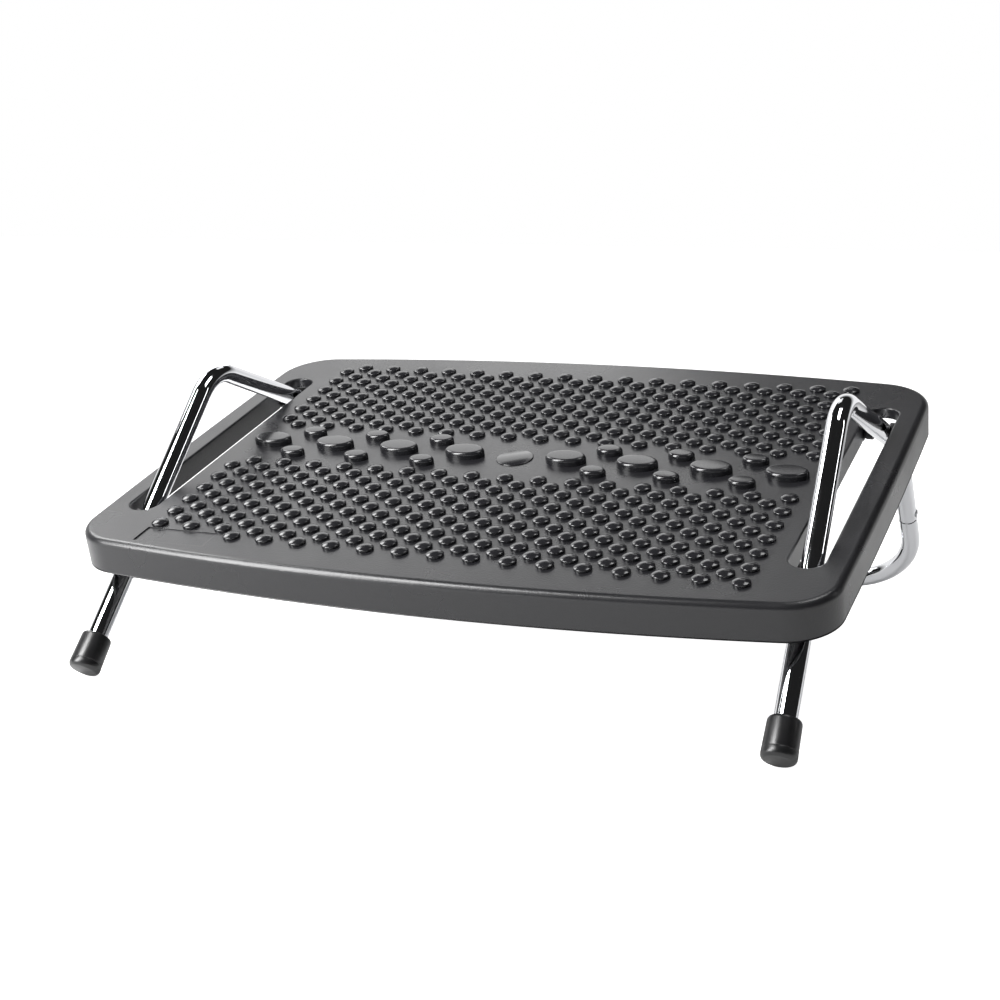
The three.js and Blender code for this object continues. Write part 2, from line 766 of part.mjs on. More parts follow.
// The footplate and the hinge hardware that turns with it, about the hinge axis
function tiltingGroup() {
  const group = new THREE.Group();
  const plate = piece("footplate", footplate(), "plastic");
  plate.position.set(0, -pivotBehindMiddle, pivotDrop);
  group.add(plate);
  sides.forEach(({ name, sign }) => {
    const hardware = [
      piece(`${name}_pivot_bolt`, pivotBolt(sign), "zinc"),
      piece(`${name}_pivot_nut`, pivotNut(sign), "zinc"),
      piece(`${name}_spring_washer`, springWasher(-sign), "zinc"),
      piece(`${name}_inner_washer`, plainWasher(-sign), "zinc"),
      piece(`${name}_outer_washer`, plainWasher(sign), "zinc"),
    ];
    hardware.forEach((mesh) => mesh.position.setX(sign * slotHalfSpan));
    group.add(...hardware);
  });
  const pivot = pivotPoint(1);
  group.position.set(0, pivot.y, pivot.z);
  group.rotation.x = radians(deckPitch);
  return group;
}

// Footrest, moved so that it stands on z = 0 with its outline centred on the origin
const footrest = new THREE.Group();
footrest.add(frameGroup(), tiltingGroup());
const bounds = new THREE.Box3().setFromObject(footrest, true);
footrest.position.set(0, -(bounds.min.y + bounds.max.y) / 2, -bounds.min.z);

export default footrest;
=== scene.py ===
import json

import bmesh
import bpy
import numpy as np
from bpy.props import FloatProperty, PointerProperty, StringProperty
from bpy.types import Operator, Panel, PropertyGroup
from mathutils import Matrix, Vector
from mathutils.geometry import tessellate_polygon


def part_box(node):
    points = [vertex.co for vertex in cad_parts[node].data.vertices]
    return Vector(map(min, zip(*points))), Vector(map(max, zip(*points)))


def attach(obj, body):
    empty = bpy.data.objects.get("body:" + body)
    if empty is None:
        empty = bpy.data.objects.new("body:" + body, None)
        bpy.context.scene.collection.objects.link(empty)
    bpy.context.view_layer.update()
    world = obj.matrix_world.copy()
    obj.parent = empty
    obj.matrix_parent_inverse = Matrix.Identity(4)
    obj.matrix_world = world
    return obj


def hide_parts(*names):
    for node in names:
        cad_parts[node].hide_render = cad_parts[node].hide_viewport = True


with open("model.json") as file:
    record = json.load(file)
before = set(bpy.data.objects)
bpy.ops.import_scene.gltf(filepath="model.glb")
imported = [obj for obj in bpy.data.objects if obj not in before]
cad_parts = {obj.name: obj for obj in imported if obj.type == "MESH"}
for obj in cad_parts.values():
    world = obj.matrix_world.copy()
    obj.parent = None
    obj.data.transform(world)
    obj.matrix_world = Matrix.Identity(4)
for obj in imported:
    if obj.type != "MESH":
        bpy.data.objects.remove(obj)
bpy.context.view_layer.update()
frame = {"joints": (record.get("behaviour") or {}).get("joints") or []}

bl_info = {
    "name": "Tilting footrest",
    "version": (1, 0, 0),
    "blender": (4, 5, 0),
    "location": "View3D > Sidebar > Footrest",
    "description": "Builds the visible pieces of a tilting under-desk footrest round its CAD frame",
    "category": "Add Mesh",
}

MM = 0.001

# Points closer than this, in metres, are welded into one.
WELD_DISTANCE = 2e-6

# The hinge axis crosses the middle plane here, in metres.
PIVOT = np.array(frame["joints"][0]["pos_m"])

# Footplate, in millimetres in its own frame: z is 0 on the deck, y is 0 at mid depth.
DECK_PITCH = np.radians(15.5)
PIVOT_BEHIND_MIDDLE = 93.8
PIVOT_DROP = 10.1
PLATE_HALF_WIDTH = 224.9
PLATE_HALF_DEPTH = 159.0
PLATE_SIDE_BOW = 1.6
PLATE_END_BOW = 15.0
FRONT_CORNER_RADIUS = 30.0
REAR_CORNER_RADIUS = 34.0
SKIRT_DEPTH = 21.0
SKIRT_WALL = 2.5
SKIRT_LIP = 0.6
DECK_SKIN = 3.0

# Rows of points this far past an edge keep the flat beside it flat in shading.
SUPPORT_LOOP = 0.4

# Hollow round where a wall meets the underside: its size, and its reach at half its turn
ROOT_ROUND = 1.2
ROOT_ROUND_MIDDLE = 0.35

# Slots, walls and hinge bosses
SLOT_HALF_SPAN = 200.24
SLOT_HALF_WIDTH = 9.5
SLOT_HALF_LENGTH = 106.0
SLOT_WALL = 2.5
SLOT_EDGE = 1.0
SLOT_RIM = 0.5
SLOT_SIDE_DEPTH = 13.8
SLOT_END_DEPTH = 7.0
SLOT_RAMP_FROM = 84.0
SLOT_RAMP_TO = 92.0
BOSS_THICKNESS = 4.0
BOSS_HALF_LENGTH = 11.0
BOSS_DEPTH = 14.6
BOSS_CORNER = 6.0
BOSS_ROOT_BEVEL = 0.4
BOSS_FACE_BEVEL = 0.6

# Ribs across the underside of the deck
RIB_DEPTH = 12.0
RIB_ROOT = 2.2
RIB_TIP = 1.7
RIB_TIP_BEVEL = 0.5
RIB_SPACING = 35.0
RIB_COUNT = 8

# Recessed label field, as its low and high corners
LABEL_LOW = (-179.0, -142.5)
LABEL_HIGH = (-133.0, -125.7)
LABEL_DEPTH = 0.7
LABEL_CORNER = 0.8
LABEL_EDGE = 0.15

# Studs and pads, which all start this far below the deck
SINK = 0.4
ROWS_PER_BLOCK = 13
STUDS_PER_ROW = 17
STUDS_LEFT_OUT = 2
BLOCK_GAP = 58.4
PADS_PER_SIDE = 4
FIRST_PAD = 32.7
PAD_PITCH = 44.4
SMALL_PAD_ROW = 15.3
PAD_HALF_SIZE = (12.6, 8.0)
SMALL_PAD_HALF_SIZE = (8.0, 5.5)
DISC_RADIUS = 11.3

# Tube frame, in millimetres. The runs go along the slope from its front bend, and down the rear leg.
APEX_HEIGHT = 165.9
APEX_HALF_SPAN = 198.6
FOOT_HALF_SPAN = 203.5
REAR_HALF_SPAN = 201.0
SLOPE_RUN = 168.8
PIVOT_RUN = 115.6
JOINT_RUN = 71.8
FRONT_LEG_PITCH = np.radians(49.3)
SLOPE_PITCH = np.radians(16.1)
REAR_LEG_PITCH = np.radians(50.0)
APEX_BEND = 31.0
REAR_BEND = 30.0
CROSSBAR_BEND = 53.0
JOINT_GAP = 0.3

# Rubber feet. A ferrule stands on its rim, at the stand radius.
RUBBER_BORE = 6.3
FERRULE_STAND_RADIUS = 8.1
FERRULE_FLOOR = 3.5
SLEEVE_RADIUS = 8.69

# Hinge hardware for a 5 mm bolt
HOLE_RADIUS = 2.8
BOLT_RADIUS = 2.5
BOLT_HEAD_HEIGHT = 3.5
BOLT_TAIL = 0.5
NUT_HEIGHT = 4.0
HEXAGON_FLAT = 3.98
WASHER_RADIUS = 5.0
WASHER_THICKNESS = 1.0
SPRING_WASHER_RADIUS = 4.4
SPRING_WASHER_THICKNESS = 1.2
BUSH_RADIUS = 5.4

# Tube joints: the plug's ends, counted from the joint down the rear leg, and the screw's place above it
PLUG_START = -22.0
PLUG_END = 15.0
PLUG_RADIUS = 4.5
PLUG_BEVEL = 0.6
SCREW_ABOVE_JOINT = 4.5

# A solid turned piece keeps a hair-thin bore of this radius on its axis.
AXIS_RADIUS = 0.01

# Camera: place in metres, the direction it looks in, lens in millimetres, and how far it sees in metres
CAMERA_PLACE = (0.3978, -0.99625, 0.2834)
CAMERA_VIEW = (-0.38607, 0.90454, -0.18098)
CAMERA_LENS = 62.96
CAMERA_REACH = 50.0

# Soft lights: name, place, width and height in metres, and power in watts
LIGHTS = (
    ("rear_left_softbox", (-0.84, 0.96, 1.04), (1.15, 0.6), 4.3),
    ("left_softbox", (-0.98, 0.14, 1.0), (0.5, 0.46), 7.5),
    ("front_left_softbox", (-0.68, -0.84, 0.74), (0.48, 1.25), 40.0),
    ("rear_softbox", (-0.16, 0.98, 1.26), (0.4, 0.4), 0.55),
    ("overhead_strip", (0.385, 0.055, 1.12), (0.45, 0.3), 3.2),
    ("right_strip", (1.2, 0.37, 0.6), (0.06, 0.5), 0.55),
)
LIGHTS_AIM = (0.0, 0.0, 0.1)

SIDES = (("left", -1.0), ("right", 1.0))
RIGHT = np.array([1.0, 0.0, 0.0])
WHITE = (1.0, 1.0, 1.0, 1.0)


# ---- Colours and nodes

def linear(hex_colour):
    """An sRGB hex colour as linear red, green, blue and alpha."""
    channels = np.array([int(hex_colour[i:i + 2], 16) for i in (1, 3, 5)]) / 255.0
    low = channels / 12.92
    high = ((channels + 0.055) / 1.055) ** 2.4
    return (*np.where(channels <= 0.04045, low, high).tolist(), 1.0)


def shade(hex_colour, factor):
    """The same, made lighter or darker by a factor."""
    return (*[factor * channel for channel in linear(hex_colour)[:3]], 1.0)


def add_node(tree, kind, settings=None, **inputs):
    """Adds a node, sets its properties, and sets or links its inputs. In an input's name, _ stands for a
    space, and i with a number means the input of that number."""
    node = tree.nodes.new(kind)
    for key, value in (settings or {}).items():
        setattr(node, key, value)
    for key, value in inputs.items():
        numbered = key[0] == "i" and key[1:].isdigit()
        socket = node.inputs[int(key[1:]) if numbered else key.replace("_", " ")]
        if isinstance(value, bpy.types.NodeSocket):
            tree.links.new(value, socket)
        else:
            socket.default_value = value
    return node


def new_material(name):
    """An empty material with its node tree, Principled shader and object coordinates."""
    material = bpy.data.materials.new(name)
    material.use_nodes = True
    tree = material.node_tree
    tree.nodes.clear()
    shader = add_node(tree, "ShaderNodeBsdfPrincipled")
    add_node(tree, "ShaderNodeOutputMaterial", Surface=shader.outputs[0])
    place = add_node(tree, "ShaderNodeTexCoord").outputs["Object"]
    return material, tree, shader, place


def noise(tree, place, size_mm, detail):
    """Noise with features of about this size, as a value that stays mostly between 0.3 and 0.7."""
    node = add_node(tree, "ShaderNodeTexNoise", Vector=place, Scale=1.0 / (size_mm * MM), Detail=detail)
    return node.outputs["Fac"]


def vary_roughness(tree, shader, value, low, high, start=0.3):
    """Takes the shader's roughness from low to high as a noise value goes from its start to 0.7."""
    spread = add_node(
        tree, "ShaderNodeMapRange", Value=value, From_Min=start, From_Max=0.7, To_Min=low, To_Max=high)
    tree.links.new(spread.outputs["Result"], shader.inputs["Roughness"])


def vary_colour(tree, shader, value, low, high):
    """Takes the shader's base colour from low to high as a noise value rises."""
    tint = add_node(tree, "ShaderNodeMix", {"data_type": "RGBA"}, i0=value, i6=low, i7=high)
    tree.links.new(tint.outputs["Result"], shader.inputs["Base Color"])


def add_bump(tree, shader, value, height_mm):
    """Raises the surface by up to this height where a noise value is high."""
    bump = add_node(tree, "ShaderNodeBump", Height=value, Distance=height_mm * MM)
    tree.links.new(bump.outputs["Normal"], shader.inputs["Normal"])


def moulded_plastic(name, colour, roughness, unevenness, grain_mm, grain_height_mm):
    """Moulded polypropylene or nylon: a near-black grey with the soft broken sheen of a spark-eroded mould."""
    material, tree, shader, place = new_material(name)
    shader.inputs["IOR"].default_value = 1.49
    # A slow drift of tone and gloss keeps the broad flats from looking like one even tone.
    drift = noise(tree, place, 45.0, 3.0)
    vary_colour(tree, shader, drift, linear(colour), shade(colour, 1.18))
    vary_roughness(tree, shader, drift, roughness - unevenness, roughness + unevenness)
    # The grain breaks up highlights. Real grain is finer than a pixel, so it is drawn as coarse as it needs
    # to show.
    add_bump(tree, shader, noise(tree, place, grain_mm, 1.0), grain_height_mm)
    return material


def chrome_plate(name, colour, roughness):
    """Bright chrome on drawn steel tube: a mirror with sharp light and dark bands along the tube."""
    material, tree, shader, place = new_material(name)
    shader.inputs["Base Color"].default_value = linear(colour)
    shader.inputs["Metallic"].default_value = 1.0
    # A faint haze from polishing softens the bands here and there.
    haze = noise(tree, place, 12.0, 4.0)
    vary_roughness(tree, shader, haze, roughness, 2.2 * roughness, start=0.35)
    return material


def moulded_rubber(name, colour):
    """Moulded rubber: black and matt, with a soft wide highlight."""
    material, tree, shader, place = new_material(name)
    shader.inputs["Base Color"].default_value = linear(colour)
    shader.inputs["IOR"].default_value = 1.52
    # Rubbed patches make the highlight uneven.
    vary_roughness(tree, shader, noise(tree, place, 6.0, 3.0), 0.28, 0.38)
    # Pits dull its edge, and are drawn coarser than real ones too, to show.
    add_bump(tree, shader, noise(tree, place, 0.5, 2.0), 0.015)
    return material


def zinc_plate(name, colour):
    """Zinc-plated steel: a cool grey metal, cloudy at the scale of its crystals."""
    material, tree, shader, place = new_material(name)
    shader.inputs["Metallic"].default_value = 1.0
    # The clouds tell the small hardware from the bright chrome beside it.
    cloud = noise(tree, place, 1.8, 4.0)
    vary_colour(tree, shader, cloud, shade(colour, 0.8), linear(colour))
    vary_roughness(tree, shader, cloud, 0.24, 0.4)
    return material


def material_of(context, name, maker, setting, **values):
    """The material of that name, made in a setting's colour the first time that a piece asks for it."""
    colour = getattr(context.scene.footrest_finish, setting)
    return bpy.data.materials.get(name) or maker(name, colour, **values)


def plate_finish(context):
    """Textured plastic of the footplate: a satin grey sheen."""
    return material_of(
        context, "polypropylene_textured", moulded_plastic, "plastic",
        roughness=0.29, unevenness=0.03, grain_mm=0.9, grain_height_mm=0.08)


def stud_finish(context):
    """The same plastic from a polished mould: sharp highlights on studs and pads."""
    return material_of(
        context, "polypropylene_polished", moulded_plastic, "plastic",
        roughness=0.17, unevenness=0.02, grain_mm=0.6, grain_height_mm=0.002)


def bush_finish(context):
    """Nylon of the saddle bushes: a duller, slightly lighter grey than the footplate."""
    return material_of(
        context, "moulded_nylon", moulded_plastic, "nylon",
        roughness=0.36, unevenness=0.03, grain_mm=0.4, grain_height_mm=0.004)


def tube_finish(context):
    """Chrome of the bent tubes."""
    return material_of(context, "chrome_plated_steel", chrome_plate, "chrome", roughness=0.035)


def foot_finish(context):
    """Rubber of the ferrules and sleeves."""
    return material_of(context, "moulded_rubber", moulded_rubber, "rubber")


def hardware_finish(context):
    """Zinc plate of bolts, nuts, washers, plugs and screws."""
    return material_of(context, "zinc_plated_steel", zinc_plate, "zinc")


# ---- Meshes from arrays

def surface(points, wrap_rows=False):
    """A grid of points, shaped rows by columns by 3, as vertices and four-sided faces. Each row is a closed
    loop, and the last row is joined to the first if rows wrap."""
    rows, columns = points.shape[:2]
    joined_rows = np.arange(rows if wrap_rows else rows - 1)
    row, column = [each.ravel() for each in np.meshgrid(joined_rows, np.arange(columns), indexing="ij")]
    here, below = row * columns, (row + 1) % rows * columns
    across = (column + 1) % columns
    faces = np.stack([here + column, here + across, below + across, below + column], 1)
    return points.reshape(-1, 3), faces.tolist()


def capped(rows):
    """Rows of points as a surface, with its first and last rows filled."""
    vertices, faces = surface(np.stack(rows))
    count = len(rows[0])
    last = len(vertices) - count
    return vertices, faces + [list(range(count)), list(range(last, last + count))]


def flat_fill(loops, height):
    """The flat region inside the first loop and outside the others, cut into triangles, at one height."""
    corners = [[Vector((x, y, 0.0)) for x, y in loop] for loop in loops]
    flat = np.concatenate(loops)
    vertices = np.column_stack([flat, np.full(len(flat), height)])
    return vertices, [list(face) for face in tessellate_polygon(corners)]


def joined(parts):
    """Several sets of vertices and faces as one."""
    vertices, faces, start = [], [], 0
    for points, loops in parts:
        vertices.append(points)
        faces.extend([[index + start for index in loop] for loop in loops])
        start += len(points)
    return np.concatenate(vertices), faces


def make_piece(name, parts, material, body, stands_for=(), crease=32.0, place=None):
    """Makes one piece of a body: joins its parts, welds their seams, turns faces out and smooths by angle.
    Without a place function, the parts are in the part's own frame, in millimetres."""
    vertices, faces = joined(parts)
    vertices = vertices * MM if place is None else place(vertices)
    mesh = bpy.data.meshes.new(name)
    mesh.from_pydata(vertices.tolist(), [], faces)
    weld = bmesh.new()
    weld.from_mesh(mesh)
    bmesh.ops.remove_doubles(weld, verts=weld.verts, dist=WELD_DISTANCE)
    bmesh.ops.recalc_face_normals(weld, faces=weld.faces)
    weld.to_mesh(mesh)
    weld.free()
    mesh.polygons.foreach_set("use_smooth", np.ones(len(mesh.polygons), bool))
    mesh.set_sharp_from_angle(angle=np.radians(crease))
    mesh.materials.append(material)
    piece = bpy.data.objects.new(name, mesh)
    bpy.context.scene.collection.objects.link(piece)
    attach(piece, body)
    if stands_for:
        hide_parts(*stands_for)


# ---- Curves in the plane

def arc(centre, radius, start, sweep, count):
    """Points on a circle about a centre, from a start angle through a sweep, without the last one."""
    angle = start + sweep * np.arange(count) / count
    return np.stack([centre[0] + radius * np.cos(angle), centre[1] + radius * np.sin(angle)], 1)


def rounding(radius, steps):
    """Quarter round from a flat top to an upright wall, as pairs of inset and drop below the top."""
    angle = np.linspace(0.0, np.pi / 2, steps + 1)
    return np.stack([radius * (1.0 - np.sin(angle)), radius * (1.0 - np.cos(angle))], 1)


def plate_outline(inset, edge_count=24, corner_count=14):
    """The footplate's outline: four shallow arcs, joined by corner arcs that touch them from inside."""
    half_span = PLATE_HALF_WIDTH - PLATE_SIDE_BOW
    half_run = PLATE_HALF_DEPTH - PLATE_END_BOW
    end_radius = (half_span ** 2 + PLATE_END_BOW ** 2) / (2 * PLATE_END_BOW)
    side_radius = (half_run ** 2 + PLATE_SIDE_BOW ** 2) / (2 * PLATE_SIDE_BOW)
    end_shift = end_radius - PLATE_HALF_DEPTH
    side_shift = PLATE_HALF_WIDTH - side_radius
    centres = np.array([[0.0, end_shift], [side_shift, 0.0], [0.0, -end_shift], [-side_shift, 0.0]])
    radii = np.array([end_radius, side_radius, end_radius, side_radius])
    corner = np.array([FRONT_CORNER_RADIUS, REAR_CORNER_RADIUS, REAR_CORNER_RADIUS, FRONT_CORNER_RADIUS])
    following = np.roll(np.arange(4), -1)
    reach, next_reach = radii - corner, radii[following] - corner
    line = centres[following] - centres
    distance = np.linalg.norm(line, axis=1)
    along = (reach ** 2 - next_reach ** 2 + distance ** 2) / (2 * distance)
    across = np.sqrt(reach ** 2 - along ** 2)
    line /= distance[:, None]
    normal = np.stack([-line[:, 1], line[:, 0]], 1)
    corners = centres + along[:, None] * line + across[:, None] * normal
    points = []
    for i in range(4):
        before, after = corners[i - 1] - centres[i], corners[i] - centres[i]
        beyond = corners[i] - centres[following[i]]
        start, end = np.arctan2(before[1], before[0]), np.arctan2(after[1], after[0])
        far = np.arctan2(beyond[1], beyond[0])
        points.append(arc(centres[i], radii[i] - inset, start, (end - start) % (2 * np.pi), edge_count))
        points.append(arc(corners[i], corner[i] - inset, end, (far - end) % (2 * np.pi), corner_count))
    return np.concatenate(points)


def slot_outline(sign, grow, end_count=24, side_count=44):
    """A slot's outline: two straight sides and two half circles, grown outwards by a distance."""
    radius = SLOT_HALF_WIDTH + grow
    reach = SLOT_HALF_LENGTH - SLOT_HALF_WIDTH
    middle = sign * SLOT_HALF_SPAN
    run = reach * (2 * np.arange(side_count) / side_count - 1)
    right = np.stack([np.full(side_count, middle + radius), run], 1)
    left = np.stack([np.full(side_count, middle - radius), -run], 1)
    rear = arc((middle, reach), radius, 0.0, np.pi, end_count)
    front = arc((middle, -reach), radius, np.pi, np.pi, end_count)
    return np.concatenate([right, rear, left, front])


def label_outline(grow, corner_count=4):
    """The label field's outline: a rectangle with small corner arcs, grown outwards by a distance."""
    (left, front), (right, rear) = LABEL_LOW, LABEL_HIGH
    corners = np.array([(right, front), (right, rear), (left, rear), (left, front)])
    inward = np.array([(-1, 1), (-1, -1), (1, -1), (1, 1)])
    quarter = np.pi / 2
    return np.concatenate([
        arc(centre, LABEL_CORNER + grow, (turn - 1) * quarter, quarter, corner_count)
        for turn, centre in enumerate(corners + LABEL_CORNER * inward)])


def lifted(outline, height):
    """A flat outline at a height, which is one number or one per point."""
    return np.column_stack([outline, np.broadcast_to(height, len(outline))])


def plate_place(points):
    """Points of the footplate's own frame turned by the deck's pitch about the hinge axis, in metres."""
    y = points[:, 1] - PIVOT_BEHIND_MIDDLE
    z = points[:, 2] + PIVOT_DROP
    cos, sin = np.cos(DECK_PITCH), np.sin(DECK_PITCH)
    return np.stack([points[:, 0], y * cos - z * sin, y * sin + z * cos], 1) * MM + PIVOT


# ---- Footplate

def slot_depth(outline):
    """Depth of a slot's wall: full along the sides, easing to the shallow depth at the round ends."""
    share = np.clip((np.abs(outline[:, 1]) - SLOT_RAMP_FROM) / (SLOT_RAMP_TO - SLOT_RAMP_FROM), 0.0, 1.0)
    ease = share * share * (3.0 - 2.0 * share)
    return SLOT_SIDE_DEPTH + (SLOT_END_DEPTH - SLOT_SIDE_DEPTH) * ease


def root_rings(inset):
    """Rings of the hollow round between a wall's hidden face, at an inset, and the underside of the deck."""
    return [
        (inset, -DECK_SKIN - ROOT_ROUND), (inset + ROOT_ROUND_MIDDLE, -DECK_SKIN - ROOT_ROUND_MIDDLE),
        (inset + ROOT_ROUND, -DECK_SKIN), (inset + ROOT_ROUND + SUPPORT_LOOP, -DECK_SKIN)]


def edge_rings(radius, steps):
    """Rings of a rounded deck edge, from the flat beside it to the wall below it."""
    quarter = [(inset, -drop) for inset, drop in rounding(radius, steps)]
    return [(radius + SUPPORT_LOOP, 0.0), *quarter, (0.0, -radius - SUPPORT_LOOP)]


def plate_shell(edge_radius):
    """The outer sweep: deck edge, skirt, lip and inner skirt, as rings of the outline at falling heights.
    Just above the bottom the wall is drawn in on both faces, and flares out again to the lip."""
    rings = [*edge_rings(edge_radius, 7), (0.0, SKIRT_LIP + SUPPORT_LOOP - SKIRT_DEPTH)]
    lip = rounding(SKIRT_LIP, 3)
    rings += [(SKIRT_LIP - inset, drop - SKIRT_DEPTH) for inset, drop in lip[::-1]]
    rings += [(SKIRT_WALL - SKIRT_LIP + inset, drop - SKIRT_DEPTH) for inset, drop in lip]
    rings += root_rings(SKIRT_WALL)
    return surface(np.stack([lifted(plate_outline(inset), height) for inset, height in rings]))


def slot_shell(sign):
    """The slot sweep: rounded deck edge, inner wall down to its depth, rim, outer wall up to the skin."""
    depth = slot_depth(slot_outline(sign, 0.0))
    rings = [*edge_rings(SLOT_EDGE, 4), (0.0, SLOT_RIM + SUPPORT_LOOP - depth), (0.0, SLOT_RIM - depth)]
    rings += [(SLOT_RIM, -depth), (SLOT_WALL - SLOT_RIM, -depth), (SLOT_WALL, SLOT_RIM - depth)]
    rings += root_rings(SLOT_WALL)
    return surface(np.stack([lifted(slot_outline(sign, grow), height) for grow, height in rings]))


def label_field():
    """The label recess: a small edge round, an upright step and its floor."""
    half_way = 0.3 * LABEL_EDGE
    rings = [
        (LABEL_EDGE + SUPPORT_LOOP, 0.0), (LABEL_EDGE, 0.0), (half_way, -half_way), (0.0, -LABEL_EDGE),
        (0.0, -LABEL_DEPTH)]
    points = np.stack([lifted(label_outline(grow), height) for grow, height in rings])
    return [surface(points), flat_fill([label_outline(0.0)], -LABEL_DEPTH)]


def rib(y):
    """A rib from slot wall to slot wall: a tapered section with a bevelled tip, drawn out across the plate."""
    reach = SLOT_HALF_SPAN - SLOT_HALF_WIDTH - SLOT_WALL / 2
    root, tip, top = RIB_ROOT / 2, RIB_TIP / 2, -DECK_SKIN / 2
    flat, shoulder = tip - RIB_TIP_BEVEL, RIB_TIP_BEVEL - RIB_DEPTH
    section = np.array([
        [-root, top], [-root, -DECK_SKIN], [-tip, shoulder], [-flat, -RIB_DEPTH],
        [flat, -RIB_DEPTH], [tip, shoulder], [root, -DECK_SKIN], [root, top]])
    return capped([
        np.column_stack([np.full(len(section), x), y + section[:, 0], section[:, 1]]) for x in (-reach, reach)])


def hinge_boss(sign, side):
    """A hinge boss on one wall of a slot: a block with rounded lower corners, drawn out across the wall."""
    reach, rise, top = BOSS_HALF_LENGTH - BOSS_CORNER, BOSS_CORNER - BOSS_DEPTH, -DECK_SKIN / 2
    outline = np.concatenate([
        arc((-reach, rise), BOSS_CORNER, np.pi, np.pi / 2, 8),
        arc((reach, rise), BOSS_CORNER, -np.pi / 2, np.pi / 2, 8),
        [[BOSS_HALF_LENGTH, rise], [BOSS_HALF_LENGTH, top], [-BOSS_HALF_LENGTH, top]]])
    centre = outline.mean(0)
    away = outline - centre
    steps = (
        (0.0, BOSS_ROOT_BEVEL), (BOSS_ROOT_BEVEL, 0.0), (BOSS_THICKNESS - BOSS_FACE_BEVEL, 0.0),
        (BOSS_THICKNESS, BOSS_FACE_BEVEL))
    rows = []
    for out, shrink in steps:
        x = sign * SLOT_HALF_SPAN + side * (SLOT_HALF_WIDTH + out)
        scaled = centre + away * (1.0 - shrink / np.linalg.norm(away, axis=1, keepdims=True))
        y = scaled[:, 0] + PIVOT_BEHIND_MIDDLE
        rows.append(np.column_stack([np.full(len(outline), x), y, scaled[:, 1]]))
    return capped(rows)


def plate_parts(edge_radius):
    """Every surface of the footplate moulding."""
    slots = [slot_shell(sign) for _, sign in SIDES]
    deck_loops = [plate_outline(edge_radius + SUPPORT_LOOP)]
    under_loops = [plate_outline(SKIRT_WALL + ROOT_ROUND + SUPPORT_LOOP)]
    for _, sign in SIDES:
        deck_loops.append(slot_outline(sign, SLOT_EDGE + SUPPORT_LOOP))
        under_loops.append(slot_outline(sign, SLOT_WALL + ROOT_ROUND + SUPPORT_LOOP))
    deck_loops.append(label_outline(LABEL_EDGE + SUPPORT_LOOP))
    deck = flat_fill(deck_loops, 0.0)
    under = flat_fill(under_loops, -DECK_SKIN)
    ribs = [rib(y) for y in RIB_SPACING * (np.arange(RIB_COUNT) - (RIB_COUNT - 1) / 2)]
    bosses = [hinge_boss(sign, side) for _, sign in SIDES for side in (-1.0, 1.0)]
    return [plate_shell(edge_radius), *slots, deck, under, *label_field(), *ribs, *bosses]


# ---- Studs and pads

def stud_places(pitch, row_pitch):
    """Stud centres: two blocks of rows, each row shifted a quarter pitch one way or the other."""
    block_depth = (ROWS_PER_BLOCK - 1) * row_pitch
    row = np.arange(ROWS_PER_BLOCK)
    column = np.arange(STUDS_PER_ROW) - (STUDS_PER_ROW - 1) / 2
    shift = np.where(row % 2 == 0, pitch / 4, -pitch / 4)
    x = shift[:, None] + column[None, :] * pitch
    blocks = []
    for start in (-BLOCK_GAP / 2 - block_depth, BLOCK_GAP / 2):
        y = np.broadcast_to((start + row * row_pitch)[:, None], x.shape)
        blocks.append(np.stack([x.ravel(), y.ravel()], 1))
    return np.concatenate([blocks[0][STUDS_LEFT_OUT:], blocks[1]])


def repeated(shape, places):
    """One shape of vertices and faces copied to many places of the plan."""
    vertices, faces = shape
    offsets = np.column_stack([places, np.zeros(len(places))])
    copies = (vertices[None] + offsets[:, None]).reshape(-1, 3)
    index = np.arange(len(places)) * len(vertices)
    loops = [[int(corner + start) for corner in face] for start in index for face in faces]
    return copies, loops


def dome(profile, half_width, half_depth, count):
    """A profile of [share of radius, height] pairs carried round an ellipse, from below the deck to the top,
    where it is closed."""
    angle = 2 * np.pi * np.arange(count) / count
    ring = np.stack([half_width * np.cos(angle), half_depth * np.sin(angle)], 1)
    points = np.stack([lifted(ring * share, height) for share, height in ((1.0, -SINK), *profile)])
    vertices, faces = surface(points)
    top = len(profile) * count
    return vertices, faces + [list(range(top, top + count))]


def crown(height, rise, shares, edge=1.0):
    """Profile of a lens-shaped top. At a share of the way out to its edge, it lies below its full height by
    the rise times the share squared."""
    return [(edge * share, height - rise * share ** 2) for share in shares]


def stud_shape(radius, height, count=12):
    """One stud in a few dozen faces: an upright wall, a small rounded rim and a lens-shaped cap."""
    rise = 0.45 * height
    rim = [(1.0, height - 1.16 * rise), (0.98, height - rise)]
    return dome([*rim, *crown(height, rise, (0.94, 0.6, 0.25))], radius, radius, count)


def pad_shape(half_width, half_depth, height, count=44):
    """One oval pad: upright sides, a rounded rim and a slightly crowned top."""
    edge, rise = 2.0, 0.12
    rim = [(1.0 - inset / half_width, height - rise - drop) for inset, drop in rounding(edge, 5)[::-1]]
    top = crown(height, rise, (0.85, 0.65, 0.4, 0.15), rim[-1][0])
    return dome([*rim, *top], half_width, half_depth, count)


def disc_shape():
    """The nearly flush disc in the middle of the band: an upright wall, a small bevel and a flat top."""
    return dome([(1.0, 0.3), (0.985, 0.5), (0.96, 0.6)], DISC_RADIUS, DISC_RADIUS, 64)


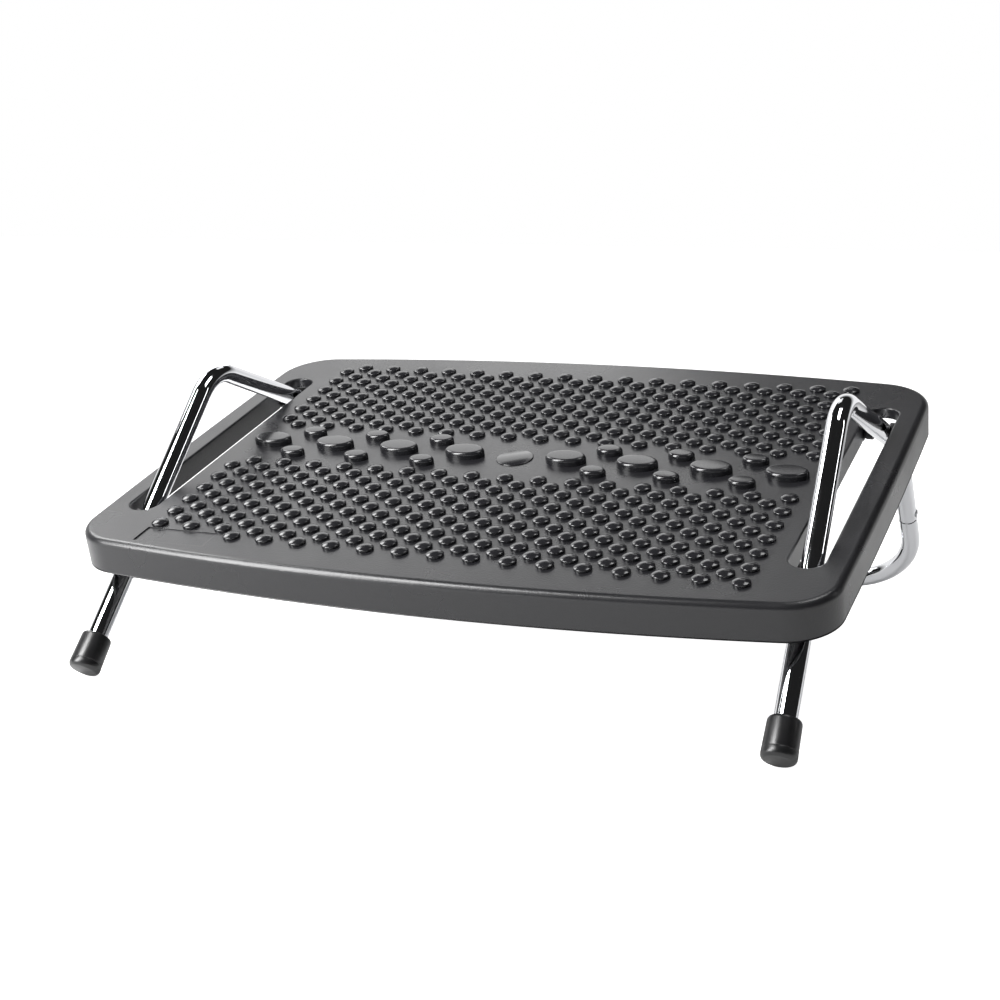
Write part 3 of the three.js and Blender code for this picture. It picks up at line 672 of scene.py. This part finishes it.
def pad_places():
    """Centres of the large pads on the band and of the small pads between them, before and behind it."""
    step = FIRST_PAD + PAD_PITCH * np.arange(PADS_PER_SIDE)
    large = np.concatenate([-step, step])
    between = step[:-1] + PAD_PITCH / 2
    small = np.concatenate([-between, between])
    rows = [np.stack([small, np.full(len(small), y)], 1) for y in (-SMALL_PAD_ROW, SMALL_PAD_ROW)]
    return np.stack([large, np.zeros(len(large))], 1), np.concatenate(rows)


# ---- Tubes

def frame_points(sign):
    """The corners of the tube frame on one side, in the part's own frame in millimetres, and the direction
    that its rear leg falls in."""
    apex_y = PIVOT[1] / MM - PIVOT_RUN * np.cos(SLOPE_PITCH)
    foot_height = FERRULE_STAND_RADIUS * np.cos(FRONT_LEG_PITCH)
    leg_run = (APEX_HEIGHT - foot_height) / np.tan(FRONT_LEG_PITCH)
    bend_y = apex_y + SLOPE_RUN * np.cos(SLOPE_PITCH)
    bend = np.array([REAR_HALF_SPAN, bend_y, APEX_HEIGHT - SLOPE_RUN * np.sin(SLOPE_PITCH)])
    fall = np.array([0.0, np.cos(REAR_LEG_PITCH), -np.sin(REAR_LEG_PITCH)])
    low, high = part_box("right_rear_sleeve")
    crossbar_height = (low[2] + high[2]) / 2 / MM
    right_side = {
        "foot": np.array([FOOT_HALF_SPAN, apex_y - leg_run, foot_height]),
        "apex": np.array([APEX_HALF_SPAN, apex_y, APEX_HEIGHT]),
        "bend": bend,
        "joint": bend + JOINT_RUN * fall,
        "crossbar": bend + fall * (bend[2] - crossbar_height) / np.sin(REAR_LEG_PITCH),
        "fall": fall,
    }
    return {name: point * np.array([sign, 1.0, 1.0]) for name, point in right_side.items()}


def unit(vector):
    """A vector's direction, as a vector of length one."""
    return vector / np.linalg.norm(vector)


def bent_path(corners, bend_radii, degrees_per_step=4.0):
    """Stations of a bent tube: corner points joined by straight runs, with an arc that touches both runs at
    each bend. Gives the points and the unit headings."""
    headings = [unit(after - before) for before, after in zip(corners, corners[1:])]
    points, directions = [corners[0][None]], [headings[0][None]]
    for corner, radius, before, after in zip(corners[1:], bend_radii, headings, headings[1:]):
        turn = np.arccos(np.clip(before @ after, -1.0, 1.0))
        inward = unit(after - before * (before @ after))
        start = corner - before * radius * np.tan(turn / 2)
        angle = np.linspace(0.0, turn, int(np.ceil(np.degrees(turn) / degrees_per_step)) + 1)[:, None]
        points.append(start + radius * (np.sin(angle) * before + (1 - np.cos(angle)) * inward))
        directions.append(np.cos(angle) * before + np.sin(angle) * inward)
    points.append(corners[-1][None])
    directions.append(headings[-1][None])
    return np.concatenate(points), np.concatenate(directions)


def tube_wall(corners, bend_radii, side, radius, wall, count=48):
    """A hollow tube: a circle carried along the path, out to the outer radius, round both ends and back
    through the bore. The circle's first axis is the side direction, squared to the heading."""
    points, headings = bent_path(corners, bend_radii)
    first = side - (headings @ side)[:, None] * headings
    first /= np.linalg.norm(first, axis=1, keepdims=True)
    second = np.cross(headings, first)
    angle = 2 * np.pi * np.arange(count) / count
    chamfer = 0.35
    last = len(points) - 1
    outer = [(i, radius, 0.0) for i in range(1, last)]
    bore = [(i, radius - wall, 0.0) for i in range(last - 1, 0, -1)]
    stations = [(0, radius - chamfer, 0.0), (0, radius, chamfer), *outer]
    stations += [(last, radius, -chamfer), (last, radius - chamfer, 0.0), (last, radius - wall, 0.0), *bore]
    stations += [(0, radius - wall, 0.0)]
    index, reach, shift = [np.array(column) for column in zip(*stations)]
    index = index.astype(int)
    centre = points[index] + shift[:, None] * headings[index]
    cos, sin = np.cos(angle)[None, :, None], np.sin(angle)[None, :, None]
    circle = cos * first[index][:, None] + sin * second[index][:, None]
    return surface(centre[:, None] + reach[:, None, None] * circle, wrap_rows=True)


def turned(profile, start, direction, count, widest=np.inf):
    """A profile of [radius, distance] pairs turned about a line from a start point along a direction, and
    kept within a widest radius, which is one number or one per point round the line."""
    direction = unit(np.array(direction, float))
    upright = np.array([0.0, 0.0, 1.0]) if abs(direction[2]) < 0.9 else np.array([0.0, 1.0, 0.0])
    first = unit(np.cross(upright, direction))
    second = np.cross(direction, first)
    angle = 2 * np.pi * np.arange(count) / count
    circle = np.cos(angle)[:, None] * first + np.sin(angle)[:, None] * second
    radius, distance = np.array(profile, float).T
    centre = np.array(start)[None] + distance[:, None] * direction
    reach = np.minimum(radius[:, None], widest)
    return surface(centre[:, None] + reach[:, :, None] * circle[None], wrap_rows=True)


def hexagon_turned(profile, start, direction, count=72):
    """As turned, but kept within a hexagon, so that cones leave bevelled corners. The hexagon's radius is its
    flats' distance over the cosine of the angle from the nearest flat's middle."""
    angle = 2 * np.pi * np.arange(count) / count
    from_middle = (angle + np.pi / 6) % (np.pi / 3) - np.pi / 6
    return turned(profile, start, direction, count, HEXAGON_FLAT / np.cos(from_middle))


# ---- Hinges

def hinge_stations():
    """Distances along the hinge axis, counted outwards from the middle of a slot."""
    washer = SLOT_HALF_WIDTH + BOSS_THICKNESS + JOINT_GAP
    beyond_washer = washer + WASHER_THICKNESS + JOINT_GAP
    head = beyond_washer + SPRING_WASHER_THICKNESS + JOINT_GAP
    return {"washer": washer, "spring": beyond_washer, "head": head, "nut": beyond_washer}


def pivot_centre(sign):
    """The middle of a slot on the hinge axis."""
    return np.array([sign * SLOT_HALF_SPAN, *PIVOT[1:] / MM])


def bolt_parts(sign):
    """The pivot bolt: a hexagon head with a washer face and bevelled corners, and a shank to past the nut."""
    at = hinge_stations()
    start = pivot_centre(sign) - sign * RIGHT * (at["head"] + BOLT_HEAD_HEIGHT)
    face, bevel, washer_face, corner = BOLT_HEAD_HEIGHT, 0.5, 4.3, 6.0
    head = [
        (0.0, 0.0), (3.9, 0.0), (5.0, 0.65), (corner, 1.3), (corner, 3.2), (washer_face, 3.2),
        (washer_face, face), (BOLT_RADIUS, face)]
    end = at["nut"] + NUT_HEIGHT + BOLT_TAIL + at["head"] + BOLT_HEAD_HEIGHT
    shank = [
        (0.0, face - 0.1), (BOLT_RADIUS, face), (BOLT_RADIUS, end - bevel), (BOLT_RADIUS - bevel, end),
        (0.0, end)]
    return [hexagon_turned(head, start, sign * RIGHT), turned(shank, start, sign * RIGHT, 32)]


def nut_parts(sign):
    """The lock nut: a bevelled hexagon with a round collar that holds the nylon ring."""
    start = pivot_centre(sign) + sign * RIGHT * hinge_stations()["nut"]
    profile = [
        (HOLE_RADIUS, 0.0), (3.9, 0.0), (4.6, 0.4), (4.6, 2.9), (4.0, 3.1), (3.75, 3.7), (3.3, NUT_HEIGHT),
        (HOLE_RADIUS, NUT_HEIGHT)]
    return [hexagon_turned(profile, start, sign * RIGHT)]


def washer_parts(sign, facing):
    """A plain washer, inner or outer: a flat ring with a bevelled outer edge."""
    outward = sign * facing * RIGHT
    start = pivot_centre(sign) + outward * hinge_stations()["washer"]
    edge, face = 0.25, WASHER_THICKNESS
    profile = [
        (HOLE_RADIUS, 0.0), (WASHER_RADIUS - edge, 0.0), (WASHER_RADIUS, edge), (WASHER_RADIUS, face - edge),
        (WASHER_RADIUS - edge, face), (HOLE_RADIUS, face)]
    return [turned(profile, start, outward, 48)]


def spring_washer_parts(sign, count=44):
    """The spring washer: a square section carried round most of a turn, with a slight pitch."""
    inward = -sign * RIGHT
    start = pivot_centre(sign) + inward * hinge_stations()["spring"]
    share = np.linspace(0.0, 1.0, count)
    turn = np.radians(345.0) * share + np.radians(97.5)
    pitch = 0.15
    face = SPRING_WASHER_THICKNESS - pitch
    section = np.array([
        [HOLE_RADIUS, 0.0], [SPRING_WASHER_RADIUS, 0.0], [SPRING_WASHER_RADIUS, face], [HOLE_RADIUS, face]])
    radial = np.stack([np.zeros(count), np.cos(turn), np.sin(turn)], 1)
    along = section[None, :, 1:] + pitch * share[:, None, None]
    return [capped(start + section[None, :, :1] * radial[:, None] + along * inward)]


def bush_parts(sign, facing, tube_radius, count=40):
    """A saddle bush: a ring whose inner face follows the tube. Its depth at a distance q from the tube's
    axis line is the square root of the tube's radius squared less q squared."""
    face = SLOT_HALF_WIDTH - JOINT_GAP
    thickest, bevel = 4.2, 0.4
    angle = 2 * np.pi * np.arange(count) / count
    radii = np.array([HOLE_RADIUS, 3.6, 4.5, BUSH_RADIUS])[:, None]
    y, z = radii * np.cos(angle), radii * np.sin(angle)
    across = y * np.sin(SLOPE_PITCH) + z * np.cos(SLOPE_PITCH)
    saddle = np.maximum(np.sqrt((tube_radius + JOINT_GAP) ** 2 - across ** 2), face - thickest)
    drawn_in = 1 - bevel / BUSH_RADIUS
    back = [(face - bevel, y[3], z[3]), (face, y[3] * drawn_in, z[3] * drawn_in), (face, y[0], z[0])]
    rows = [np.stack([saddle[i], y[i], z[i]], 1) for i in range(4)]
    rows += [np.stack([np.full(count, x), row_y, row_z], 1) for x, row_y, row_z in back]
    points = np.stack(rows) * np.array([sign * facing, 1.0, 1.0]) + pivot_centre(sign)
    return [surface(points, wrap_rows=True)]


# ---- Profiles of feet and joints

def ferrule_profile():
    """[radius, distance] pairs of a ferrule: rounded foot, swollen band with a fine groove above it, tapered
    barrel, rounded mouth and blind bore."""
    return [
        (AXIS_RADIUS, 0.0), (6.9, 0.0), (7.7, 0.18), (8.4, 0.6), (8.9, 1.2), (9.2, 1.9), (9.3, 2.7),
        (9.33, 4.9), (9.25, 5.1), (9.08, 5.2), (9.08, 5.45), (9.2, 5.6), (9.22, 6.0),
        (8.85, 20.2), (8.7, 21.0), (8.3, 21.7), (7.6, 22.0),
        (RUBBER_BORE, 22.0), (RUBBER_BORE, FERRULE_FLOOR), (AXIS_RADIUS, FERRULE_FLOOR)]


def sleeve_profile(length):
    """[radius, distance] pairs of a crossbar sleeve: a straight barrel with rounded ends, and a bore."""
    rounded_end = [(RUBBER_BORE, 0.0), (7.7, 0.0), (8.4, 0.3), (SLEEVE_RADIUS, 1.0)]
    return rounded_end + [(radius, length - distance) for radius, distance in rounded_end[::-1]]


def plug_profile():
    """[radius, distance] pairs of a joint's plug: a straight rod with bevelled ends."""
    end = PLUG_RADIUS - PLUG_BEVEL
    return [
        (AXIS_RADIUS, PLUG_START), (end, PLUG_START), (PLUG_RADIUS, PLUG_START + PLUG_BEVEL),
        (PLUG_RADIUS, PLUG_END - PLUG_BEVEL), (end, PLUG_END), (AXIS_RADIUS, PLUG_END)]


def screw_profile():
    """[radius, distance] pairs of a joint's screw: shank, cone below the head, rounded head and recess."""
    shank = 1.5
    return [
        (AXIS_RADIUS, 1.5), (shank, 1.5), (shank, 5.2), (2.6, 5.6), (2.6, 6.1), (2.3, 6.4), (1.5, 6.6),
        (0.9, 6.6), (0.8, 6.1), (AXIS_RADIUS, 6.0)]


# ---- Settings

def colour_setting(name, default, description):
    """A colour as an sRGB hex setting."""
    return StringProperty(name=name, description=description, default=default)


def length_setting(name, default, description):
    """A length setting, in metres."""
    return FloatProperty(name=name, description=description, default=default, unit="LENGTH")


class FootrestFinish(PropertyGroup):
    """Colours of the footrest's materials."""
    plastic: colour_setting("Plastic", "#18181a", "Colour of the moulded footplate")
    chrome: colour_setting("Chrome", "#e6e7ea", "Colour of the plated tubes")
    rubber: colour_setting("Rubber", "#121213", "Colour of the feet")
    zinc: colour_setting("Zinc", "#b9bbbe", "Colour of bolts, nuts, washers and screws")
    nylon: colour_setting("Nylon", "#232325", "Colour of the saddle bushes")
    backdrop: colour_setting("Backdrop", "#d2d2d2", "Colour of the floor")


class FootrestSizes(PropertyGroup):
    """Sizes of the footrest that a user would change."""
    deck_edge: length_setting("Deck edge", 0.004, "Radius of the footplate's top edge")
    stud_radius: length_setting("Stud radius", 0.0051, "Radius of one stud")
    stud_height: length_setting("Stud height", 0.0027, "Height of one stud above the deck")
    stud_pitch: length_setting("Stud pitch", 0.02115, "Distance between studs along a row")
    row_pitch: length_setting("Row pitch", 0.0083, "Distance between rows of studs")
    pad_height: length_setting("Pad height", 0.0046, "Height of the large pads")
    small_pad_height: length_setting("Small pad height", 0.0041, "Height of the small pads")
    tube_radius: length_setting("Tube radius", 0.006, "Outer radius of the bent tubes")
    tube_wall: length_setting("Tube wall", 0.0012, "Wall thickness of the bent tubes")


# ---- Operators

class FOOTREST_OT_footplate(Operator):
    """Moulded footplate with its skirt, slots, ribs and hinge bosses"""
    bl_idname = "footrest.footplate"
    bl_label = "Footplate"

    def execute(self, context):
        sizes = context.scene.footrest_sizes
        make_piece(
            "footplate_moulding", plate_parts(sizes.deck_edge / MM), plate_finish(context),
            "tilting_footplate", ["footplate"], place=plate_place)
        return {"FINISHED"}


class FOOTREST_OT_studs(Operator):
    """Two blocks of small studs on the deck"""
    bl_idname = "footrest.studs"
    bl_label = "Studs"

    def execute(self, context):
        sizes = context.scene.footrest_sizes
        places = stud_places(sizes.stud_pitch / MM, sizes.row_pitch / MM)
        shape = stud_shape(sizes.stud_radius / MM, sizes.stud_height / MM)
        make_piece(
            "footplate_studs", [repeated(shape, places)], stud_finish(context),
            "tilting_footplate", crease=60.0, place=plate_place)
        return {"FINISHED"}


class FOOTREST_OT_pads(Operator):
    """Large and small oval pads along the band, and the disc in the middle"""
    bl_idname = "footrest.pads"
    bl_label = "Pads"

    def execute(self, context):
        sizes = context.scene.footrest_sizes
        large, small = pad_places()
        large_shape = pad_shape(*PAD_HALF_SIZE, sizes.pad_height / MM)
        small_shape = pad_shape(*SMALL_PAD_HALF_SIZE, sizes.small_pad_height / MM)
        for name, part in (
                ("footplate_large_pads", repeated(large_shape, large)),
                ("footplate_small_pads", repeated(small_shape, small)),
                ("footplate_disc", disc_shape())):
            make_piece(
                name, [part], stud_finish(context), "tilting_footplate",
                crease=50.0, place=plate_place)
        return {"FINISHED"}


class FOOTREST_OT_tubes(Operator):
    """Two bent side tubes and the rear tube"""
    bl_idname = "footrest.tubes"
    bl_label = "Tubes"

    def execute(self, context):
        sizes = context.scene.footrest_sizes
        radius, wall = sizes.tube_radius / MM, sizes.tube_wall / MM
        for side, sign in SIDES:
            at = frame_points(sign)
            start = at["foot"] + unit(at["apex"] - at["foot"]) * (FERRULE_FLOOR + JOINT_GAP)
            corners = [start, at["apex"], at["bend"], at["joint"]]
            tube = tube_wall(corners, [APEX_BEND, REAR_BEND], RIGHT, radius, wall)
            make_piece(
                f"{side}_side_tube_plated", [tube], tube_finish(context), "frame",
                [f"{side}_side_tube"], crease=40.0)
        left, right = [frame_points(sign) for _, sign in SIDES]
        ends = [at["joint"] + at["fall"] * JOINT_GAP for at in (left, right)]
        corners = [ends[0], left["crossbar"], right["crossbar"], ends[1]]
        normal = np.cross(right["fall"], RIGHT)
        tube = tube_wall(corners, [CROSSBAR_BEND, CROSSBAR_BEND], normal, radius, wall)
        make_piece(
            "rear_tube_plated", [tube], tube_finish(context), "frame", ["rear_tube"],
            crease=40.0)
        return {"FINISHED"}


class FOOTREST_OT_feet(Operator):
    """Rubber ferrules on the front feet and rubber sleeves on the crossbar"""
    bl_idname = "footrest.feet"
    bl_label = "Rubber feet"

    def execute(self, context):
        for side, sign in SIDES:
            at = frame_points(sign)
            ferrule = turned(ferrule_profile(), at["foot"], at["apex"] - at["foot"], 56)
            make_piece(
                f"{side}_front_ferrule_rubber", [ferrule], foot_finish(context), "frame",
                [f"{side}_front_ferrule"])
            low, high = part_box(f"{side}_rear_sleeve")
            length = (high[0] - low[0]) / MM
            start = np.array([low[0], (low[1] + high[1]) / 2, (low[2] + high[2]) / 2]) / MM
            sleeve = turned(sleeve_profile(length), start, RIGHT, 56)
            make_piece(
                f"{side}_rear_sleeve_rubber", [sleeve], foot_finish(context), "frame",
                [f"{side}_rear_sleeve"])
        return {"FINISHED"}


class FOOTREST_OT_hinges(Operator):
    """Pivot bolts, lock nuts, washers, spring washers and saddle bushes"""
    bl_idname = "footrest.hinges"
    bl_label = "Hinges"

    def execute(self, context):
        radius = context.scene.footrest_sizes.tube_radius / MM
        for side, sign in SIDES:
            hardware = {
                "pivot_bolt": bolt_parts(sign),
                "pivot_nut": nut_parts(sign),
                "spring_washer": spring_washer_parts(sign),
                "inner_washer": washer_parts(sign, -1.0),
                "outer_washer": washer_parts(sign, 1.0),
            }
            for node, parts in hardware.items():
                make_piece(
                    f"{side}_{node}_zinc", parts, hardware_finish(context),
                    "tilting_footplate", [f"{side}_{node}"])
            for where, facing in (("inner", -1.0), ("outer", 1.0)):
                make_piece(
                    f"{side}_{where}_saddle_bush_nylon", bush_parts(sign, facing, radius),
                    bush_finish(context), "frame", [f"{side}_{where}_saddle_bush"])
        return {"FINISHED"}


class FOOTREST_OT_joints(Operator):
    """Plug spigots and screws of the tube joints"""
    bl_idname = "footrest.joints"
    bl_label = "Tube joints"

    def execute(self, context):
        for side, sign in SIDES:
            at = frame_points(sign)
            seat = at["joint"] - at["fall"] * SCREW_ABOVE_JOINT
            for node, part in (
                    ("joint_spigot", turned(plug_profile(), at["joint"], at["fall"], 40)),
                    ("joint_screw", turned(screw_profile(), seat, sign * RIGHT, 32))):
                make_piece(
                    f"{side}_{node}_zinc", [part], hardware_finish(context),
                    "frame", [f"{side}_{node}"])
        return {"FINISHED"}


# ---- Stage

def aimed(name, data, place, view):
    """A lamp or camera at a place, looking along a direction."""
    item = bpy.data.objects.new(name, data)
    item.location = place
    item.rotation_euler = Vector(view).to_track_quat("-Z", "Y").to_euler()
    bpy.context.scene.collection.objects.link(item)
    return item


def area_light(name, place, size, power):
    """A rectangular soft light at a place, turned to face the object."""
    data = bpy.data.lights.new(name, "AREA")
    data.shape = "RECTANGLE"
    data.size, data.size_y = size
    data.energy = power
    aimed(name, data, place, Vector(LIGHTS_AIM) - Vector(place)).visible_camera = False


def studio_floor(colour):
    """A pale floor that shows as white where it is lit, and keeps the object's shadow."""
    half = 6.0
    mesh = bpy.data.meshes.new("studio_floor")
    corners = [(-half, -half, 0), (half, -half, 0), (half, half, 0), (-half, half, 0)]
    mesh.from_pydata(corners, [], [(0, 1, 2, 3)])
    material, tree, shader, _ = new_material("studio_paper")
    shader.inputs["Base Color"].default_value = linear(colour)
    shader.inputs["Roughness"].default_value = 0.9
    # The glow makes the paper white in the picture, and only faintly bright in metal.
    glow_in_picture, glow_in_metal = 0.87, 0.05
    path = add_node(tree, "ShaderNodeLightPath")
    mirrored_glow = add_node(
        tree, "ShaderNodeMath", {"operation": "MULTIPLY"}, i0=path.outputs["Is Glossy Ray"], i1=glow_in_metal)
    glow = add_node(
        tree, "ShaderNodeMath", {"operation": "MULTIPLY_ADD"}, i0=path.outputs["Is Camera Ray"],
        i1=glow_in_picture, i2=mirrored_glow.outputs[0])
    shader.inputs["Emission Color"].default_value = WHITE
    tree.links.new(glow.outputs[0], shader.inputs["Emission Strength"])
    mesh.materials.append(material)
    floor = bpy.data.objects.new("studio_floor", mesh)
    bpy.context.scene.collection.objects.link(floor)


def studio_world():
    """White where the camera looks. In metal, the white backdrop curves up behind the object and fades to a
    dark room overhead and towards the camera."""
    world = bpy.data.worlds.new("studio")
    bpy.context.scene.world = world
    world.use_nodes = True
    tree = world.node_tree
    tree.nodes.clear()
    # The backdrop fades over a range of how far a direction points towards the room.
    towards_room = (0.4, -0.7, 1.0)
    fade_start, fade_end = -0.4, -0.14
    room_light, ambient = 0.015, 0.42
    direction = add_node(tree, "ShaderNodeTexCoord").outputs["Generated"]
    slope = add_node(
        tree, "ShaderNodeVectorMath", {"operation": "DOT_PRODUCT"}, i0=direction, i1=towards_room)
    room = add_node(
        tree, "ShaderNodeMapRange", Value=slope.outputs["Value"], From_Min=fade_start, From_Max=fade_end,
        To_Min=1.0, To_Max=room_light)
    path = add_node(tree, "ShaderNodeLightPath")
    soft, shown, mirror = [
        add_node(tree, "ShaderNodeBackground", Color=WHITE, Strength=strength).outputs[0]
        for strength in (ambient, 1.0, room.outputs["Result"])]
    in_metal = add_node(
        tree, "ShaderNodeMath", {"operation": "MAXIMUM"}, i0=path.outputs["Is Glossy Ray"],
        i1=path.outputs["Is Transmission Ray"])
    unseen = add_node(tree, "ShaderNodeMixShader", i0=in_metal.outputs[0], i1=soft, i2=mirror)
    everywhere = add_node(
        tree, "ShaderNodeMixShader", i0=path.outputs["Is Camera Ray"], i1=unseen.outputs[0], i2=shown)
    add_node(tree, "ShaderNodeOutputWorld", Surface=everywhere.outputs[0])


def studio_camera():
    """The photograph's camera, as worked out from the even pitch of the studs."""
    data = bpy.data.cameras.new("camera")
    data.lens = CAMERA_LENS
    data.clip_end = CAMERA_REACH
    bpy.context.scene.camera = aimed("camera", data, CAMERA_PLACE, CAMERA_VIEW)


class FOOTREST_OT_stage(Operator):
    """Pale floor, soft lights, white surroundings and the camera"""
    bl_idname = "footrest.stage"
    bl_label = "Stage"

    def execute(self, context):
        studio_floor(context.scene.footrest_finish.backdrop)
        studio_world()
        for light in LIGHTS:
            area_light(*light)
        studio_camera()
        context.scene.view_settings.view_transform = "Standard"
        return {"FINISHED"}


class FOOTREST_PT_pieces(Panel):
    """Sidebar panel that lists the pieces"""
    bl_idname = "FOOTREST_PT_pieces"
    bl_label = "Footrest"
    bl_space_type = "VIEW_3D"
    bl_region_type = "UI"
    bl_category = "Footrest"

    def draw(self, context):
        for operator in OPERATORS:
            self.layout.operator(operator.bl_idname)
        for settings in (context.scene.footrest_sizes, context.scene.footrest_finish):
            for name in settings.__annotations__:
                self.layout.prop(settings, name)


OPERATORS = (
    FOOTREST_OT_footplate,
    FOOTREST_OT_studs,
    FOOTREST_OT_pads,
    FOOTREST_OT_tubes,
    FOOTREST_OT_feet,
    FOOTREST_OT_hinges,
    FOOTREST_OT_joints,
    FOOTREST_OT_stage,
)
CLASSES = (FootrestFinish, FootrestSizes, *OPERATORS, FOOTREST_PT_pieces)


def register():
    for item in CLASSES:
        bpy.utils.register_class(item)
    bpy.types.Scene.footrest_finish = PointerProperty(type=FootrestFinish)
    bpy.types.Scene.footrest_sizes = PointerProperty(type=FootrestSizes)


def unregister():
    del bpy.types.Scene.footrest_sizes
    del bpy.types.Scene.footrest_finish
    for item in reversed(CLASSES):
        bpy.utils.unregister_class(item)


def main():
    register()
    bpy.ops.footrest.footplate()
    bpy.ops.footrest.studs()
    bpy.ops.footrest.pads()
    bpy.ops.footrest.tubes()
    bpy.ops.footrest.feet()
    bpy.ops.footrest.hinges()
    bpy.ops.footrest.joints()
    bpy.ops.footrest.stage()


if __name__ == "__main__":
    main()
